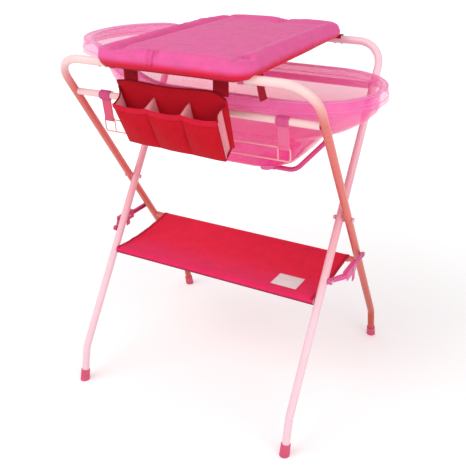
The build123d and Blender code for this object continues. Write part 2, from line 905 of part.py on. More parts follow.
def bag_straps():
    """Webbing loops over the front bar, sewn to the back panel."""
    y = -top_bar_offset
    inner = frame_tube_radius + fit_gap
    outer = inner + strap_thickness
    panel_back = bag_back_y() + bag_sheet + fit_gap
    straps = []
    for side in (-1, 1):
        x = side * strap_spacing
        half = strap_width / 2
        ring = tube_x(x - half, x + half, y, top_bar_height, outer, strap_thickness)
        hang = box_between(
            (x - half, panel_back, bag_back_top - binding_height),
            (x + half, panel_back + strap_thickness, top_bar_height),
        )
        straps.append(ring + (hang - rod_x(x - half, x + half, y, top_bar_height, inner)))
    return Compound(straps)


# Towel rack on the front rail
def rail_y(facing):
    return facing * leg_y(rail_height)


def rack_clips():
    """Ribbed clips round the rail with a tab down to an eye on the upper wire.

    Their top is cut away under the lip of the tub.
    """
    y = rail_y(-1)
    inner = rail_radius + fit_gap
    outer = inner + clip_thickness
    wire_y, wire_z = rack_levels()[0]
    clips = []
    for side in (-1, 1):
        x = side * clip_spacing
        half = clip_width / 2
        clip = tube_x(x - half, x + half, y, rail_height, outer, clip_thickness)
        step = clip_width / clip_rib_count
        for i in range(clip_rib_count):
            rib_x = x - half + (i + 0.5) * step
            clip = clip + tube_x(
                rib_x - clip_rib_width / 2, rib_x + clip_rib_width / 2, y, rail_height,
                outer + clip_rib_height, clip_rib_height + clip_thickness / 2,
            )
        slit = box_between(
            (x - clip_width, y, rail_height - 2 * outer), (x + clip_width, y + outer / 2, rail_height)
        )
        tab_half = clip_tab_width / 2
        tab = prism_x(
            [
                (y - clip_tab_thickness, rail_height - outer + clip_thickness / 2),
                (wire_y - clip_tab_thickness / 2, wire_z),
                (wire_y + clip_tab_thickness / 2, wire_z),
                (y, rail_height - outer + clip_thickness / 2),
            ],
            x - tab_half, x + tab_half,
        )
        eye = rod_x(x - tab_half, x + tab_half, wire_y, wire_z, wire_eye_radius)
        clip = (clip - slit) + tab + eye
        clip = clip - rod_x(x - half, x + half, y, rail_height, inner)
        clip = clip - rod_x(x - half, x + half, wire_y, wire_z, wire_radius + fit_gap)
        under_lip = box_between(
            (x - clip_width, -tub_half_width - clip_lip_gap, rail_top),
            (x + clip_width, 0, rail_top + clip_width),
        )
        clips.append(clip - under_lip)
    return Compound(clips)


def rack_levels():
    """Place (y, z) of the upper and the lower wire."""
    y = rail_y(-1)
    upper_z = rail_height - rack_drop
    share = rack_drop / (rack_drop + rack_height)
    return [
        (y + rack_set_back * share, upper_z),
        (y + rack_set_back, upper_z - rack_height),
    ]


def wire_rack():
    """Closed wire frame with a short wire across near each end."""
    (upper_y, upper_z), (lower_y, lower_z) = rack_levels()
    end = clip_spacing + rack_end_half_width
    path = FilletPolyline(
        (-end, upper_y, upper_z), (end, upper_y, upper_z),
        (end, lower_y, lower_z), (-end, lower_y, lower_z),
        radius=wire_corner_radius, close=True,
    )
    start = Plane(origin=path @ 0, z_dir=path % 0)
    rack = sweep(start * Circle(wire_radius), path=path)
    for side in (-1, 1):
        x = side * (end - 2 * rack_end_half_width)
        rack = rack + rod_between((x, upper_y, upper_z), (x, lower_y, lower_z), short_wire_radius)
    return rack


# Shelf
def shelf_ends():
    """Middle (y, z) of the front and the rear shelf tube."""
    return [
        (leg_y(shelf_front_height), shelf_front_height),
        (-leg_y(shelf_rear_height), shelf_rear_height),
    ]


def cloth_band(low_lift, high_lift, half_width, x_middle):
    """Strip of cloth that hangs a little between the tops of the two shelf tubes."""
    (front_y, front_z), (rear_y, rear_z) = shelf_ends()
    base = shelf_tube_radius + fit_gap
    edges = []
    for lift in (low_lift, high_lift):
        start = (x_middle - half_width, front_y, front_z + base + lift)
        end = (x_middle - half_width, rear_y, rear_z + base + lift)
        middle = (
            x_middle - half_width, (front_y + rear_y) / 2,
            (start[2] + end[2]) / 2 - shelf_sag,
        )
        edges.append(ThreePointArc(start, middle, end))
    lower, upper = edges
    ends = [Line(lower @ 0, upper @ 0), Line(lower @ 1, upper @ 1)]
    wire = Wire([edge for line in [lower, upper, *ends] for edge in line.edges()])
    return extrude(make_face(wire), amount=2 * half_width, dir=(1, 0, 0))


def shelf_fabric():
    """Cloth sewn round both shelf tubes."""
    cloth = cloth_band(0, fabric_thickness, shelf_half_width, 0)
    outer = shelf_tube_radius + fit_gap + fabric_thickness
    for y, z in shelf_ends():
        cloth = cloth + rod_x(-shelf_half_width, shelf_half_width, y, z, outer)
    for y, z in shelf_ends():
        cloth = cloth - rod_x(-shelf_half_width, shelf_half_width, y, z, shelf_tube_radius + fit_gap)
    return cloth


def shelf_patch():
    """Plain patch sewn on the right front of the shelf."""
    front_y = shelf_ends()[0][0]
    lift = fabric_thickness + fit_gap
    band = cloth_band(lift, lift + patch_thickness, patch_width / 2, patch_side)
    keep = box_between(
        (patch_side - patch_width, front_y + patch_inset, 0),
        (patch_side + patch_width, front_y + patch_inset + patch_depth, top_bar_height),
    )
    return band & keep


write("front_top_bar", top_bar(-1))
write("rear_top_bar", top_bar(1))
write("front_bar_rivets", bar_rivets(-1))
write("rear_bar_rivets", bar_rivets(1))
for side_name, side_sign in (("left", -1), ("right", 1)):
    write(f"front_frame_{side_name}_leg", front_frame_leg(side_sign))
    rear_leg = hoop_leg(side_sign, 1, rear_hoop_half_width, rear_corner_radius)
    write(f"rear_frame_{side_name}_leg", rear_leg)
    write(f"rear_{side_name}_foot_cap", foot_cap(side_sign, -1, front_hoop_half_width))
    write(f"front_{side_name}_foot_cap", foot_cap(side_sign, 1, rear_hoop_half_width))
    write(f"stay_rear_{side_name}", stay_rear(side_sign))
    write(f"stay_front_{side_name}", stay_front(side_sign))
    write(f"stay_middle_pin_{side_name}", stay_middle_pin(side_sign))
    write(f"stay_end_pin_{side_name}", stay_end_pin(side_sign))
write("stay_studs", stay_studs())
write("front_tub_rail", cross_tube(
    front_hoop_half_width, rail_y(-1), rail_height, rail_radius, rail_wall))
write("rear_tub_rail", cross_tube(
    rear_hoop_half_width, rail_y(1), rail_height, rail_radius, rail_wall))
shelf_front, shelf_rear = shelf_ends()
write("shelf_front_tube", cross_tube(
    rear_hoop_half_width, *shelf_front, shelf_tube_radius, rail_wall))
write("shelf_rear_tube", cross_tube(
    front_hoop_half_width, *shelf_rear, shelf_tube_radius, rail_wall))
write("pivot_bolts", pivot_bolts())
write("pivot_nuts", pivot_nuts())
write("pivot_spacers", pivot_spacers())
write("tub_shell", tub_shell())
write("drain_fitting", drain_fitting())
write("drain_nut", drain_nut())
write("drain_plug", drain_plug())
write("drain_hose", drain_hose())
write("hose_cap", hose_cap())
write("mat_pad", mat_pad())
write("mat_board", mat_board())
write("mat_front_hooks", mat_front_hooks())
write("mat_hinge_saddles", mat_hinge_saddles())
write("mat_rear_sleeves", mat_rear_sleeves())
write("mat_tie_strap", mat_tie_strap())
write("bag_back_panel", bag_back_panel())
write("bag_binding", bag_binding())
write("bag_pockets", bag_pockets())
write("bag_straps", bag_straps())
write("rack_clips", rack_clips())
write("wire_rack", wire_rack())
write("shelf_fabric", shelf_fabric())
write("shelf_patch", shelf_patch())
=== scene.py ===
"""Folding changing table with a baby bathtub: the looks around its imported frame."""
import json
import math
import bpy
import numpy as np
from bpy.props import FloatProperty, FloatVectorProperty, IntProperty, PointerProperty
from mathutils import Color, Matrix, Vector

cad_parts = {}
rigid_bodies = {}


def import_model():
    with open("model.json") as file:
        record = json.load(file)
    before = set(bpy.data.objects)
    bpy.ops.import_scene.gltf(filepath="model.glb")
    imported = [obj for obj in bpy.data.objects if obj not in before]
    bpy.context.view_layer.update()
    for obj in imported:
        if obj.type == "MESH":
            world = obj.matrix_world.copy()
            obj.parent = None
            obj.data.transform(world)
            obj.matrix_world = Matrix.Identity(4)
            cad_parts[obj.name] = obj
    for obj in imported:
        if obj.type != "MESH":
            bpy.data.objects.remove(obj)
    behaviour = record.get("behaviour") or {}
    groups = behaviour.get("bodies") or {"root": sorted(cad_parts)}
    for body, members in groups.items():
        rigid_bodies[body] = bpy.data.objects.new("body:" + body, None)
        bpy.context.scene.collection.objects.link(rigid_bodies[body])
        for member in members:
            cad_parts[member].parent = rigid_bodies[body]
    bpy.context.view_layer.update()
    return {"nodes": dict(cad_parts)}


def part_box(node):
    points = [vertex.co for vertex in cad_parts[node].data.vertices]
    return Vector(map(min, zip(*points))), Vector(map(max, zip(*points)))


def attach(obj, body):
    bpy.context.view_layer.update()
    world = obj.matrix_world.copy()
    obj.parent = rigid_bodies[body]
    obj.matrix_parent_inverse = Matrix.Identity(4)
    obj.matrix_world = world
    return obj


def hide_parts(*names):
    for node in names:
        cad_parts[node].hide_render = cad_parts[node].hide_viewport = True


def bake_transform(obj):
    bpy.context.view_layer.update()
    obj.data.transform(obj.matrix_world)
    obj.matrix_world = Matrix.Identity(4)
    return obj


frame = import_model()

bl_info = {
    "name": "Changing table with bathtub",
    "version": (1, 0, 0),
    "blender": (4, 5, 0),
    "location": "View3D > Sidebar > Changing table",
    "description": "Builds the finishes, tub, mat, bag and shelf around the packed frame",
    "category": "Object",
}

TURN = 2 * math.pi
WEBBING = 0.0015  # Thickness of the straps


# Settings that a user would change
def amount(label, words, default, **more):
    return FloatProperty(name=label, description=words, default=default, **more)


def size(label, words, default):
    return amount(label, words, default, unit="LENGTH")


def fraction(label, words, default):
    return amount(label, words, default, min=0, max=1, subtype="FACTOR")


def degrees(label, words, default):
    return amount(label, words, math.radians(default), unit="ROTATION")


def place(label, words, default):
    return FloatVectorProperty(name=label, description=words, default=default, unit="LENGTH")


def shade(label, words, default):
    return FloatVectorProperty(
        name=label, description=words, default=default, subtype="COLOR_GAMMA", size=3, min=0, max=1
    )


class PaintSettings(bpy.types.PropertyGroup):
    bar: shade("Bars", "Paint of the front bars and cross tubes", (0.985, 0.825, 0.82))
    rear_bar: shade("Rear bars", "Paint of the inner hoop's top and rail", (0.97, 0.81, 0.85))
    # The hoops' paints differ; the leg colours that change with height are painted light and shade.
    coral: shade("Coral", "Paint of the outer hoop's legs at mid height", (0.885, 0.44, 0.41))
    shaded_low_coral: shade("Low coral", "Paint of the outer hoop's legs near the floor", (0.80, 0.31, 0.24))
    rose: shade("Rose", "Paint of the inner hoop's legs at the pivots", (0.93, 0.65, 0.69))
    pale: shade("Pale", "Paint of the inner hoop's legs near the floor", (0.965, 0.81, 0.855))
    wire: shade("Wire", "Coating of the towel rack", (0.96, 0.66, 0.66))


class PlasticSettings(bpy.types.PropertyGroup):
    foot: shade("Feet", "Plastic of the foot caps", (0.86, 0.33, 0.47))
    # The stays are one plastic; the left one's darker colour is painted shade.
    stay: shade("Stays", "Plastic of the right folding stay", (0.91, 0.32, 0.58))
    shaded_left_stay: shade("Left stay", "The left one, which is in the shade", (0.82, 0.22, 0.45))
    drain: shade("Drain", "Plastic of the drain fitting and its plug", (0.93, 0.44, 0.68))
    clip: shade("Clips", "Plastic of the clips and hooks", (0.89, 0.34, 0.58))
    # Both tabs are one plastic; their two colours are painted light and shade.
    left_tab_shade: shade("Left tab", "Tab of the left clip, seen against white", (0.89, 0.31, 0.46))
    right_tab_light: shade("Right tab", "Tab of the right clip, seen against the tub", (0.91, 0.40, 0.58))
    hose: shade("Hose", "Plastic of the drain hose", (0.90, 0.30, 0.56))
    steel: shade("Steel", "Zinc plating of the pins, studs and rivets", (0.80, 0.78, 0.79))


class TubSettings(bpy.types.PropertyGroup):
    plastic: shade("Plastic", "Colour of the translucent plastic", (0.93, 0.22, 0.56))
    rim_plastic: shade("Rim plastic", "Its colour at the thick rim", (0.94, 0.35, 0.68))
    # The glow is painted light: the plastic emits its own colour for light passing through it.
    painted_glow: amount("Glow", "Light that the milky plastic passes on", 0.16)
    # The beads are cords along the rim's edges whose pale colour is painted highlight.
    highlight_bead: shade("Beads", "Colour of the thick edges, which catch the light", (0.985, 0.76, 0.88))
    cover: fraction("Cover", "How much one face of the rim hides", 0.36)
    low_cover: fraction("Low cover", "The same for the wall near the floor", 0.61)
    wall: size("Wall", "Thickness of the moulded wall", 0.0026)
    rim: size("Rim", "How far the rim's outline stands out from the wall's top", 0.013)
    rim_depth: size("Depth", "Height of the rim's straight part over the floor", 0.192)
    corner: size("Corner", "Corner radius of the rim's outline", 0.180)
    lip: size("Lip", "Height of the lip that hangs from the rim", 0.0300)
    slant: size("Slant", "How far the lip slants out at its long sides", 0.009)
    end_slant: size("End slant", "How far the lip slants out at its ends", 0.004)
    ledge: size("Ledge", "Depth of the ledge inside, under the rim", 0.0025)
    rise_start: size("Rise start", "Where the rim begins to rise, left of the middle", 0.0701)
    rise_end: size("Rise end", "Where the rim has risen, left of the middle", 0.2879)
    around: IntProperty(name="Points around", description="Fineness of the outline", default=168)


class MatSettings(bpy.types.PropertyGroup):
    top: shade("Top", "Colour of the cover's top", (0.935, 0.375, 0.635))
    side: shade("Side", "Colour of the cover's side and underside", (0.87, 0.06, 0.19))
    border: size("Border", "Radius of the rolled border", 0.0165)
    front_drop: size("Front drop", "How much lower the solid's front border lies than the others", 0.007)
    front_hang: size("Front hang", "How much lower the cover hangs there, in front of the bar", 0.0115)
    right_share: fraction("Right share", "How much of that the right border hangs lower", 0.8)
    well: size("Well", "Depth of the flat middle under the border's top", 0.0075)
    corner: size("Corner", "Corner radius of the outline", 0.046)
    swell: size("Swell", "Most that the padding pushes the cover out", 0.006)
    cell: size("Cell", "Cell size of the cover's mesh", 0.005)
    pinch: size("Pinch", "Depth of the sewn gathers between their folds", 0.0025)
    fold: size("Fold", "How much deeper the folds of the gathers go", 0.0075)
    pleat: size("Pleat", "Height of the pleats along the inner seam", 0.0010)
    dip: size("Dip", "How much deeper the inner seam lies at the left", 0.0060)


class BagSettings(bpy.types.PropertyGroup):
    cloth: shade("Cloth", "Colour of the bag", (0.79, 0.05, 0.135))
    gusset: shade("Gussets", "Colour of the gussets between the pockets", (0.975, 0.62, 0.67))
    mouth: shade("Mouth", "Colour of the band along the pockets' mouths", (0.86, 0.09, 0.21))
    edge: shade("Edge", "Colour of the edge binding", (0.58, 0.03, 0.10))
    webbing: shade("Webbing", "Colour of the straps", (0.66, 0.03, 0.12))
    tie: shade("Tie", "Colour of the strap under the mat", (0.72, 0.05, 0.17))
    strap: size("Strap", "Width of the straps over the bar", 0.038)
    sleeve: size("Sleeve", "Width of the loops under the mat", 0.046)
    tail: size("Tail", "How much lower the tie's tail hangs than its solid", 0.026)
    puff: size("Puff", "How far a pocket stands out between its seams", 0.0125)
    taper: size("Taper", "How much shallower the pockets are at their bottom", 0.012)
    band: size("Band", "Width of the band along the mouths", 0.010)
    droop: size("Droop", "How far the panel's edge droops between the straps", 0.004)
    right_droop: size("Right droop", "How far it droops at its right end", 0.013)
    left_droop: size("Left droop", "How far it droops at its left end", 0.003)
    hang: size("Hang", "How much lower the loaded pockets hang than the solid", 0.004)
    tilt: size("Tilt", "How much lower their right end hangs than their left", 0.009)
    shift: size("Shift", "How far the pockets lean to the right of their solid", 0.008)
    pockets: IntProperty(name="Pockets", description="Number of pockets", default=3)


class ShelfSettings(bpy.types.PropertyGroup):
    cloth: shade("Cloth", "Colour of the shelf", (0.95, 0.115, 0.27))
    front: shade("Front", "Colour of the shelf near its front edge", (0.93, 0.175, 0.39))
    hem: shade("Hem", "Colour of the side hems", (0.80, 0.07, 0.22))
    patch: shade("Patch", "Colour of the bare sewn patch", (1.0, 0.95, 0.945))
    sag: size("Sag", "How far the cloth hangs between its tubes", 0.007)
    ripple: size("Ripple", "Height of the folds in the cloth", 0.0013)
    draw: size("Side draw", "How far the sides are drawn in between the tubes", 0.0012)
    shift: size("Shift", "How far the cloth has slid to the right at its rear tube", 0.0055)
    hem_width: size("Hem width", "Width of the side hems", 0.008)


class StageSettings(bpy.types.PropertyGroup):
    lens: amount("Lens", "Focal length in millimetres", 52.76)
    shift: amount("Shift", "Vertical shift of the view", -0.0567)
    camera: place("Camera", "Place of the camera", (0.8159, -1.4761, 1.2243))
    turn: degrees("Turn", "Direction of view about the vertical", 28.704)
    dip: degrees("Dip", "How far the view looks down", 23.83)
    roll: degrees("Roll", "Roll of the camera", -0.33)
    sky: amount("Sky", "Strength of the even light", 0.79)
    key: amount("Key", "Power of the large lamp in watts", 52.0)
    key_place: place("Key place", "Place of the large lamp", (-1.6, -2.2, 3.0))
    key_width: size("Key width", "Width of the large lamp", 2.6)
    fill: amount("Fill", "Power of the second lamp in watts", 32.0)
    fill_place: place("Fill place", "Place of the second lamp", (2.6, -1.6, 1.6))
    fill_width: size("Fill width", "Width of the second lamp", 2.4)
    aim: place("Aim", "What both lamps point at", (0, 0, 0.5))
    lift: amount("Lift", "How much paler the floor looks near the object", 0.215)
    far_lift: amount("Far lift", "The same far from the object", 0.55)


# Shader maths
def linear(colour):
    """A screen colour as the light values that a shader takes."""
    return tuple(Color(colour).from_srgb_to_scene_linear())


def scaled(colour, share):
    """A darker colour, or a lighter one up to white."""
    return [min(1.0, c * share) for c in colour]


class Field:
    """A socket of a shader tree, so that shader maths is written as an expression."""

    def __init__(self, nodes, socket):
        self.nodes = nodes
        self.socket = socket

    def maths(self, operation, *values):
        return self.nodes.node("Math", {"operation": operation}, dict(enumerate(values)))

    def __add__(self, other):
        return self.maths("ADD", self, other)

    def __radd__(self, other):
        return self.maths("ADD", other, self)

    def __sub__(self, other):
        return self.maths("SUBTRACT", self, other)

    def __rsub__(self, other):
        return self.maths("SUBTRACT", other, self)

    def __mul__(self, other):
        return self.maths("MULTIPLY", self, other)

    def __rmul__(self, other):
        return self.maths("MULTIPLY", other, self)

    def wave(self, pitch):
        """Sine of a length in metres with that pitch, from 0 to 1."""
        return self.maths("SINE", self * (TURN / pitch)) * 0.5 + 0.5

    def band(self, low, high, to_low=0.0, to_high=1.0):
        """Smooth step between two values."""
        return self.nodes.node(
            "MapRange", {"interpolation_type": "SMOOTHSTEP"},
            {0: self, 1: low, 2: high, 3: to_low, 4: to_high},
        )


class Nodes:
    """The nodes around the shader of a material or of the world."""

    def __init__(self, owner, shader, constants):
        owner.use_nodes = True
        self.owner = owner
        self.tree = owner.node_tree
        self.shader = self.tree.nodes[shader]
        for socket, value in constants.items():
            self.shader.inputs[socket.replace("_", " ")].default_value = value

    def node(self, kind, settings=None, values=None, output=0):
        """Adds a node: its settings first, then values or links of its sockets."""
        made = self.tree.nodes.new("ShaderNode" + kind)
        for key, value in (settings or {}).items():
            setattr(made, key, value)
        for key, value in (values or {}).items():
            if isinstance(value, Field):
                self.tree.links.new(value.socket, made.inputs[key])
            else:
                made.inputs[key].default_value = value
        return Field(self, made.outputs[output])

    def set(self, socket, field):
        self.tree.links.new(field.socket, self.shader.inputs[socket])

    def seen(self):
        """1 for what shows to the camera, also by a gloss or through glass, and 0 for plain light."""
        kinds = ("Camera", "Glossy", "Transmission")
        rays = [self.node("LightPath", output=f"Is {kind} Ray") for kind in kinds]
        return rays[0] + rays[1] + rays[2]


class Finish(Nodes):
    """A material built around one shader, in the frame's own metres."""

    def __init__(self, name, **constants):
        super().__init__(bpy.data.materials.new(name), "Principled BSDF", constants)
        self.point = self.node("TexCoord", output="Object")

    def along(self, axis):
        return self.node("SeparateXYZ", values={0: self.point}, output=axis)

    def noise(self, pitch, detail=2.0, stretch=(1, 1, 1)):
        """Noise from 0 to 1 with that pitch in metres."""
        spot = self.node("VectorMath", {"operation": "MULTIPLY"}, {0: self.point, 1: stretch})
        return self.node("TexNoise", values={"Vector": spot, "Scale": 1 / pitch, "Detail": detail})

    def mix(self, share, first, second):
        """Colour between two colours, each a colour or a field."""
        ends = [c if isinstance(c, Field) else (*linear(c), 1) for c in (first, second)]
        return self.node("Mix", {"data_type": "RGBA"}, {0: share, 6: ends[0], 7: ends[1]}, output=2)

    def tone(self, share, colour, darker, lighter):
        """Small change of one colour over a surface."""
        return self.mix(share, scaled(colour, darker), scaled(colour, lighter))

    def relief(self, height, depth, normal=None):
        """Bump from a height of 0 to 1, depth metres deep."""
        values = {"Height": height, "Distance": depth, "Strength": 1.0}
        if normal:
            values["Normal"] = normal
        return self.node("Bump", values=values)


def paint_finish(name, colour, *stops):
    """Gloss coat on tube with a slightly uneven skin; stops are heights and colours above the first."""
    made = Finish(name, Coat_Weight=0.25, Coat_Roughness=0.14, IOR=1.45)
    base = made.tone(made.noise(0.05, detail=3.0), colour, 0.97, 1.02)
    height = made.along("Z")
    for low, high, other in stops:
        base = made.mix(height.band(low, high), base, other)
    made.set("Base Color", base)
    made.set("Roughness", made.noise(0.02).band(0.3, 0.7, 0.26, 0.38))
    made.set("Normal", made.relief(made.noise(0.0035), 0.0001))
    return made.owner


def plastic_finish(name, colour, grain=0.0012, depth=0.00008, rough=0.38):
    """Moulded plastic with a fine texture and slight flow marks."""
    made = Finish(name, IOR=1.46)
    flow = made.noise(0.03, stretch=(1, 1, 3))
    made.set("Base Color", made.tone(flow, colour, 0.90, 1.05))
    made.set("Roughness", made.noise(0.015).band(0.25, 0.75, rough - 0.06, rough + 0.08))
    made.set("Normal", made.relief(made.noise(grain), depth))
    return made.owner


def steel_finish(name, colour):
    """Zinc plated steel, brushed round its axis."""
    made = Finish(name, Metallic=1.0)
    brush = made.noise(0.0009, stretch=(0.15, 1, 1))
    made.set("Base Color", made.tone(brush, colour, 0.85, 1.05))
    made.set("Roughness", brush.band(0.2, 0.8, 0.26, 0.42))
    made.set("Normal", made.relief(brush, 0.00005))
    return made.owner


def tub_finish(settings):
    """Translucent moulded plastic: milky colour with a painted glow for the light it passes, fine scratches,
    soft waviness.
    """
    made = Finish(
        "tub_plastic", IOR=1.47, Coat_Weight=0.2, Coat_Roughness=0.08,
        Emission_Strength=settings.painted_glow,
    )
    cloud = made.noise(0.09)
    rub = made.noise(0.002, detail=3.0, stretch=(1, 0.06, 0.06))
    ripple = made.noise(0.035, detail=1.0)
    up = made.along("Z")
    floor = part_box("tub_shell")[0].z
    thins_out = (floor + 0.02, floor + 0.165)
    turns_to_rim = (floor + 0.11, floor + 0.175)
    made.set("Alpha", up.band(*thins_out, settings.low_cover, settings.cover))
    wall = made.tone(cloud, settings.plastic, 0.93, 1.05)
    colour = made.mix(up.band(*turns_to_rim), wall, settings.rim_plastic)
    made.set("Base Color", colour)
    # Painted light: the plastic glows in its own colour.
    made.set("Emission Color", colour)
    made.set("Roughness", rub.band(0.45, 0.8, 0.18, 0.34))
    made.set("Normal", made.relief(ripple, 0.0008, made.relief(rub, 0.00004)))
    return made.owner


def cloth_finish(name, colour, pitch=0.0011, depth=0.00022, rough=0.78, other=None, split=None, shaded=None):
    """Woven cloth: threads both ways, slubs, creases and uneven dye.

    split and shaded are functions of the finish that give, from 0 to 1, where the other colour
    shows and where a painted shade darkens it.
    """
    made = Finish(name, IOR=1.35, Specular_IOR_Level=0.25, Sheen_Weight=0.06, Sheen_Roughness=0.4)
    across = made.along("X")
    up = made.along("Y") + made.along("Z")
    slub = made.noise(0.006) * (0.6 * pitch)
    weave = (across + slub).wave(pitch) * (up + slub).wave(pitch)
    dye = made.noise(0.035, detail=3.0)
    base = made.tone(dye, colour, 0.93, 1.04)
    if other:
        base = made.mix(split(made), base, made.tone(dye, other, 0.93, 1.04))
    # Painted shade: the other colour, darkened, where shaded gives 1.
    if shaded:
        base = made.mix(shaded(made), base, scaled(other, 0.6))
    crease = made.noise(0.028, detail=3.0, stretch=(1, 1.6, 1))
    made.set("Base Color", made.mix(weave * 0.16, base, scaled(colour, 0.72)))
    made.set("Roughness", made.noise(0.01).band(0.3, 0.7, rough - 0.07, rough + 0.07))
    made.set("Normal", made.relief(crease, 0.0011, made.relief(weave, depth)))
    return made.owner


def webbing_finish(name, colour, rib=0.0017):
    """Flat webbing with ribs across and a herringbone of threads."""
    made = Finish(name, IOR=1.35, Specular_IOR_Level=0.2, Sheen_Weight=0.05)
    across = made.along("X")
    up = made.along("Y") + made.along("Z")
    twill = (across + up).wave(rib) * 0.5 + (across - up).wave(rib) * 0.5
    made.set("Base Color", made.tone(twill, colour, 0.72, 1.12))
    made.set("Roughness", twill.band(0, 1, 0.62, 0.8))
    made.set("Normal", made.relief(twill, 0.0004))
    return made.owner


# Lines and places
def axis_of(name):
    """Where a tube along X has its axis, as (y, z)."""
    low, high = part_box(name)
    return (low.y + high.y) / 2, (low.z + high.z) / 2


def pair_of_places(name, width):
    """X of two straps of that width at the ends of a node."""
    low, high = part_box(name)
    return low.x + width / 2, high.x - width / 2


def ramp(value, start, end):
    """How far a value is on its way from start to end, from 0 to 1."""
    return np.clip((value - start) / (end - start), 0, 1)


def smooth(share):
    return share * share * (3 - 2 * share)


def evenly(points, count, closed=False):
    """The line through the points, divided into evenly spaced points."""
    line = np.array(points, float)
    if closed:
        line = np.vstack([line, line[:1]])
    steps = np.linalg.norm(np.diff(line, axis=0), axis=1)
    along = np.concatenate([[0.0], np.cumsum(steps)])
    places = np.linspace(0, along[-1], count, endpoint=not closed)
    return np.stack([np.interp(places, along, line[:, k]) for k in range(line.shape[1])], axis=1)


def arc(centre, radius, start, end, count):
    """Points on an arc between two angles in degrees."""
    angles = np.radians(np.linspace(start, end, count))
    return [(centre[0] + radius * math.cos(a), centre[1] + radius * math.sin(a)) for a in angles]


def soft_noise(seed, count, top):
    """Smooth function of two values, the same on each run: a sum of a few waves."""
    random = np.random.default_rng(seed)
    waves = random.uniform(-top, top, (count, 2))
    phases = random.uniform(0, TURN, count)

    def height(u, v):
        total = sum(np.sin(TURN * (a * u + b * v) + p) for (a, b), p in zip(waves, phases))
        return total / count

    return height


# Meshes
def rest_on(points, name, faces, finish):
    """New object from points and faces, in the frame's own metres."""
    mesh = bpy.data.meshes.new(name)
    mesh.from_pydata([tuple(float(c) for c in p) for p in points], [], faces)
    mesh.update()
    mesh.materials.append(finish)
    mesh.polygons.foreach_set("use_smooth", [True] * len(mesh.polygons))
    piece = bpy.data.objects.new(name, mesh)
    bpy.context.scene.collection.objects.link(piece)
    return piece


def grid_faces(rows, columns, closed=False, start=0):
    """Quads of a grid of points, row by row; closed joins the last column to the first."""
    faces = []
    for r in range(rows - 1):
        for c in range(columns if closed else columns - 1):
            d = (c + 1) % columns
            low = start + r * columns
            faces.append((low + c, low + d, low + columns + d, low + columns + c))
    return faces


def cap_faces(rows, columns, start=0):
    """Faces that close the first and the last row of a grid whose rows are rings."""
    last = start + (rows - 1) * columns
    return [tuple(range(start, start + columns))[::-1], tuple(range(last, last + columns))]


def grid_piece(name, grid, finish):
    """Sheet over a grid of points of shape (rows, columns, 3)."""
    rows, columns = grid.shape[:2]
    return rest_on(grid.reshape(-1, 3), name, grid_faces(rows, columns), finish)


def settle(piece, *steps):
    """Adds modifiers in order and keeps their result as the piece's own mesh."""
    for kind, settings in steps:
        modifier = piece.modifiers.new(kind.lower(), kind)
        for key, value in settings.items():
            setattr(modifier, key, value)
    shown = piece.evaluated_get(bpy.context.evaluated_depsgraph_get())
    mesh = bpy.data.meshes.new_from_object(shown)
    piece.modifiers.clear()
    mesh.name = piece.name
    piece.data = mesh
    mesh.polygons.foreach_set("use_smooth", [True] * len(mesh.polygons))
    return piece


def cloth(name, grid, thickness, finish):
    """Cloth of a real thickness over a grid of points."""
    piece = grid_piece(name, grid, finish)
    return settle(piece, ("SOLIDIFY", {"thickness": thickness, "offset": 0.0, "use_even_offset": False}))


def strap(name, grid, thickness, rounding, finish):
    """Webbing over a grid of points, with rounded edges."""
    return settle(
        grid_piece(name, grid, finish),
        ("SOLIDIFY", {"thickness": thickness, "offset": 0.0}),
        ("BEVEL", {"width": rounding, "segments": 2, "limit_method": "ANGLE"}),
    )


def webbing(name, line, x_middle, width, finish):
    """Flat strap along a line of (y, z) points, as wide as width across X."""
    spots = evenly(line, 2 * len(line))
    across = np.linspace(-width / 2, width / 2, 9) + x_middle
    grid = np.array([[(x, y, z) for x in across] for y, z in spots])
    return strap(name, grid, WEBBING, WEBBING / 4, finish)


def joined(name, pieces):
    """Joins pieces into one object."""
    pieces[0].name = name
    with bpy.context.temp_override(active_object=pieces[0], selected_editable_objects=pieces):
        bpy.ops.object.join()
    return pieces[0]


def points_of(piece):
    return np.array([v.co for v in piece.data.vertices], float).reshape(-1, 3)


def move_points(piece, points):
    piece.data.vertices.foreach_set("co", points.astype(np.float32).ravel())
    piece.data.update()


def cord_between(name, line, radius, finish, sides=8, closed=False):
    """Round cord of a real radius along a line of points, with capped ends."""
    line = np.array(line, float)
    count = len(line)
    if closed:
        ways = np.roll(line, -1, axis=0) - np.roll(line, 1, axis=0)
    else:
        ways = np.gradient(line, axis=0)
    ways /= np.linalg.norm(ways, axis=1)[:, None]
    turns = np.arange(sides) * TURN / sides
    rings = []
    for point, way in zip(line, ways):
        aside = np.cross(way, [0.0, 0.0, 1.0])
        if np.linalg.norm(aside) < 1e-3:
            aside = np.cross(way, [0.0, 1.0, 0.0])
        aside /= np.linalg.norm(aside)
        over = np.cross(aside, way)
        rings.append(point + radius * (np.cos(turns)[:, None] * aside + np.sin(turns)[:, None] * over))
    faces = grid_faces(count, sides, closed=True)
    if closed:
        last = (count - 1) * sides
        faces += [(last + c, last + (c + 1) % sides, (c + 1) % sides, c) for c in range(sides)]
    else:
        faces += cap_faces(count, sides)
    return rest_on(np.concatenate(rings), name, faces, finish)


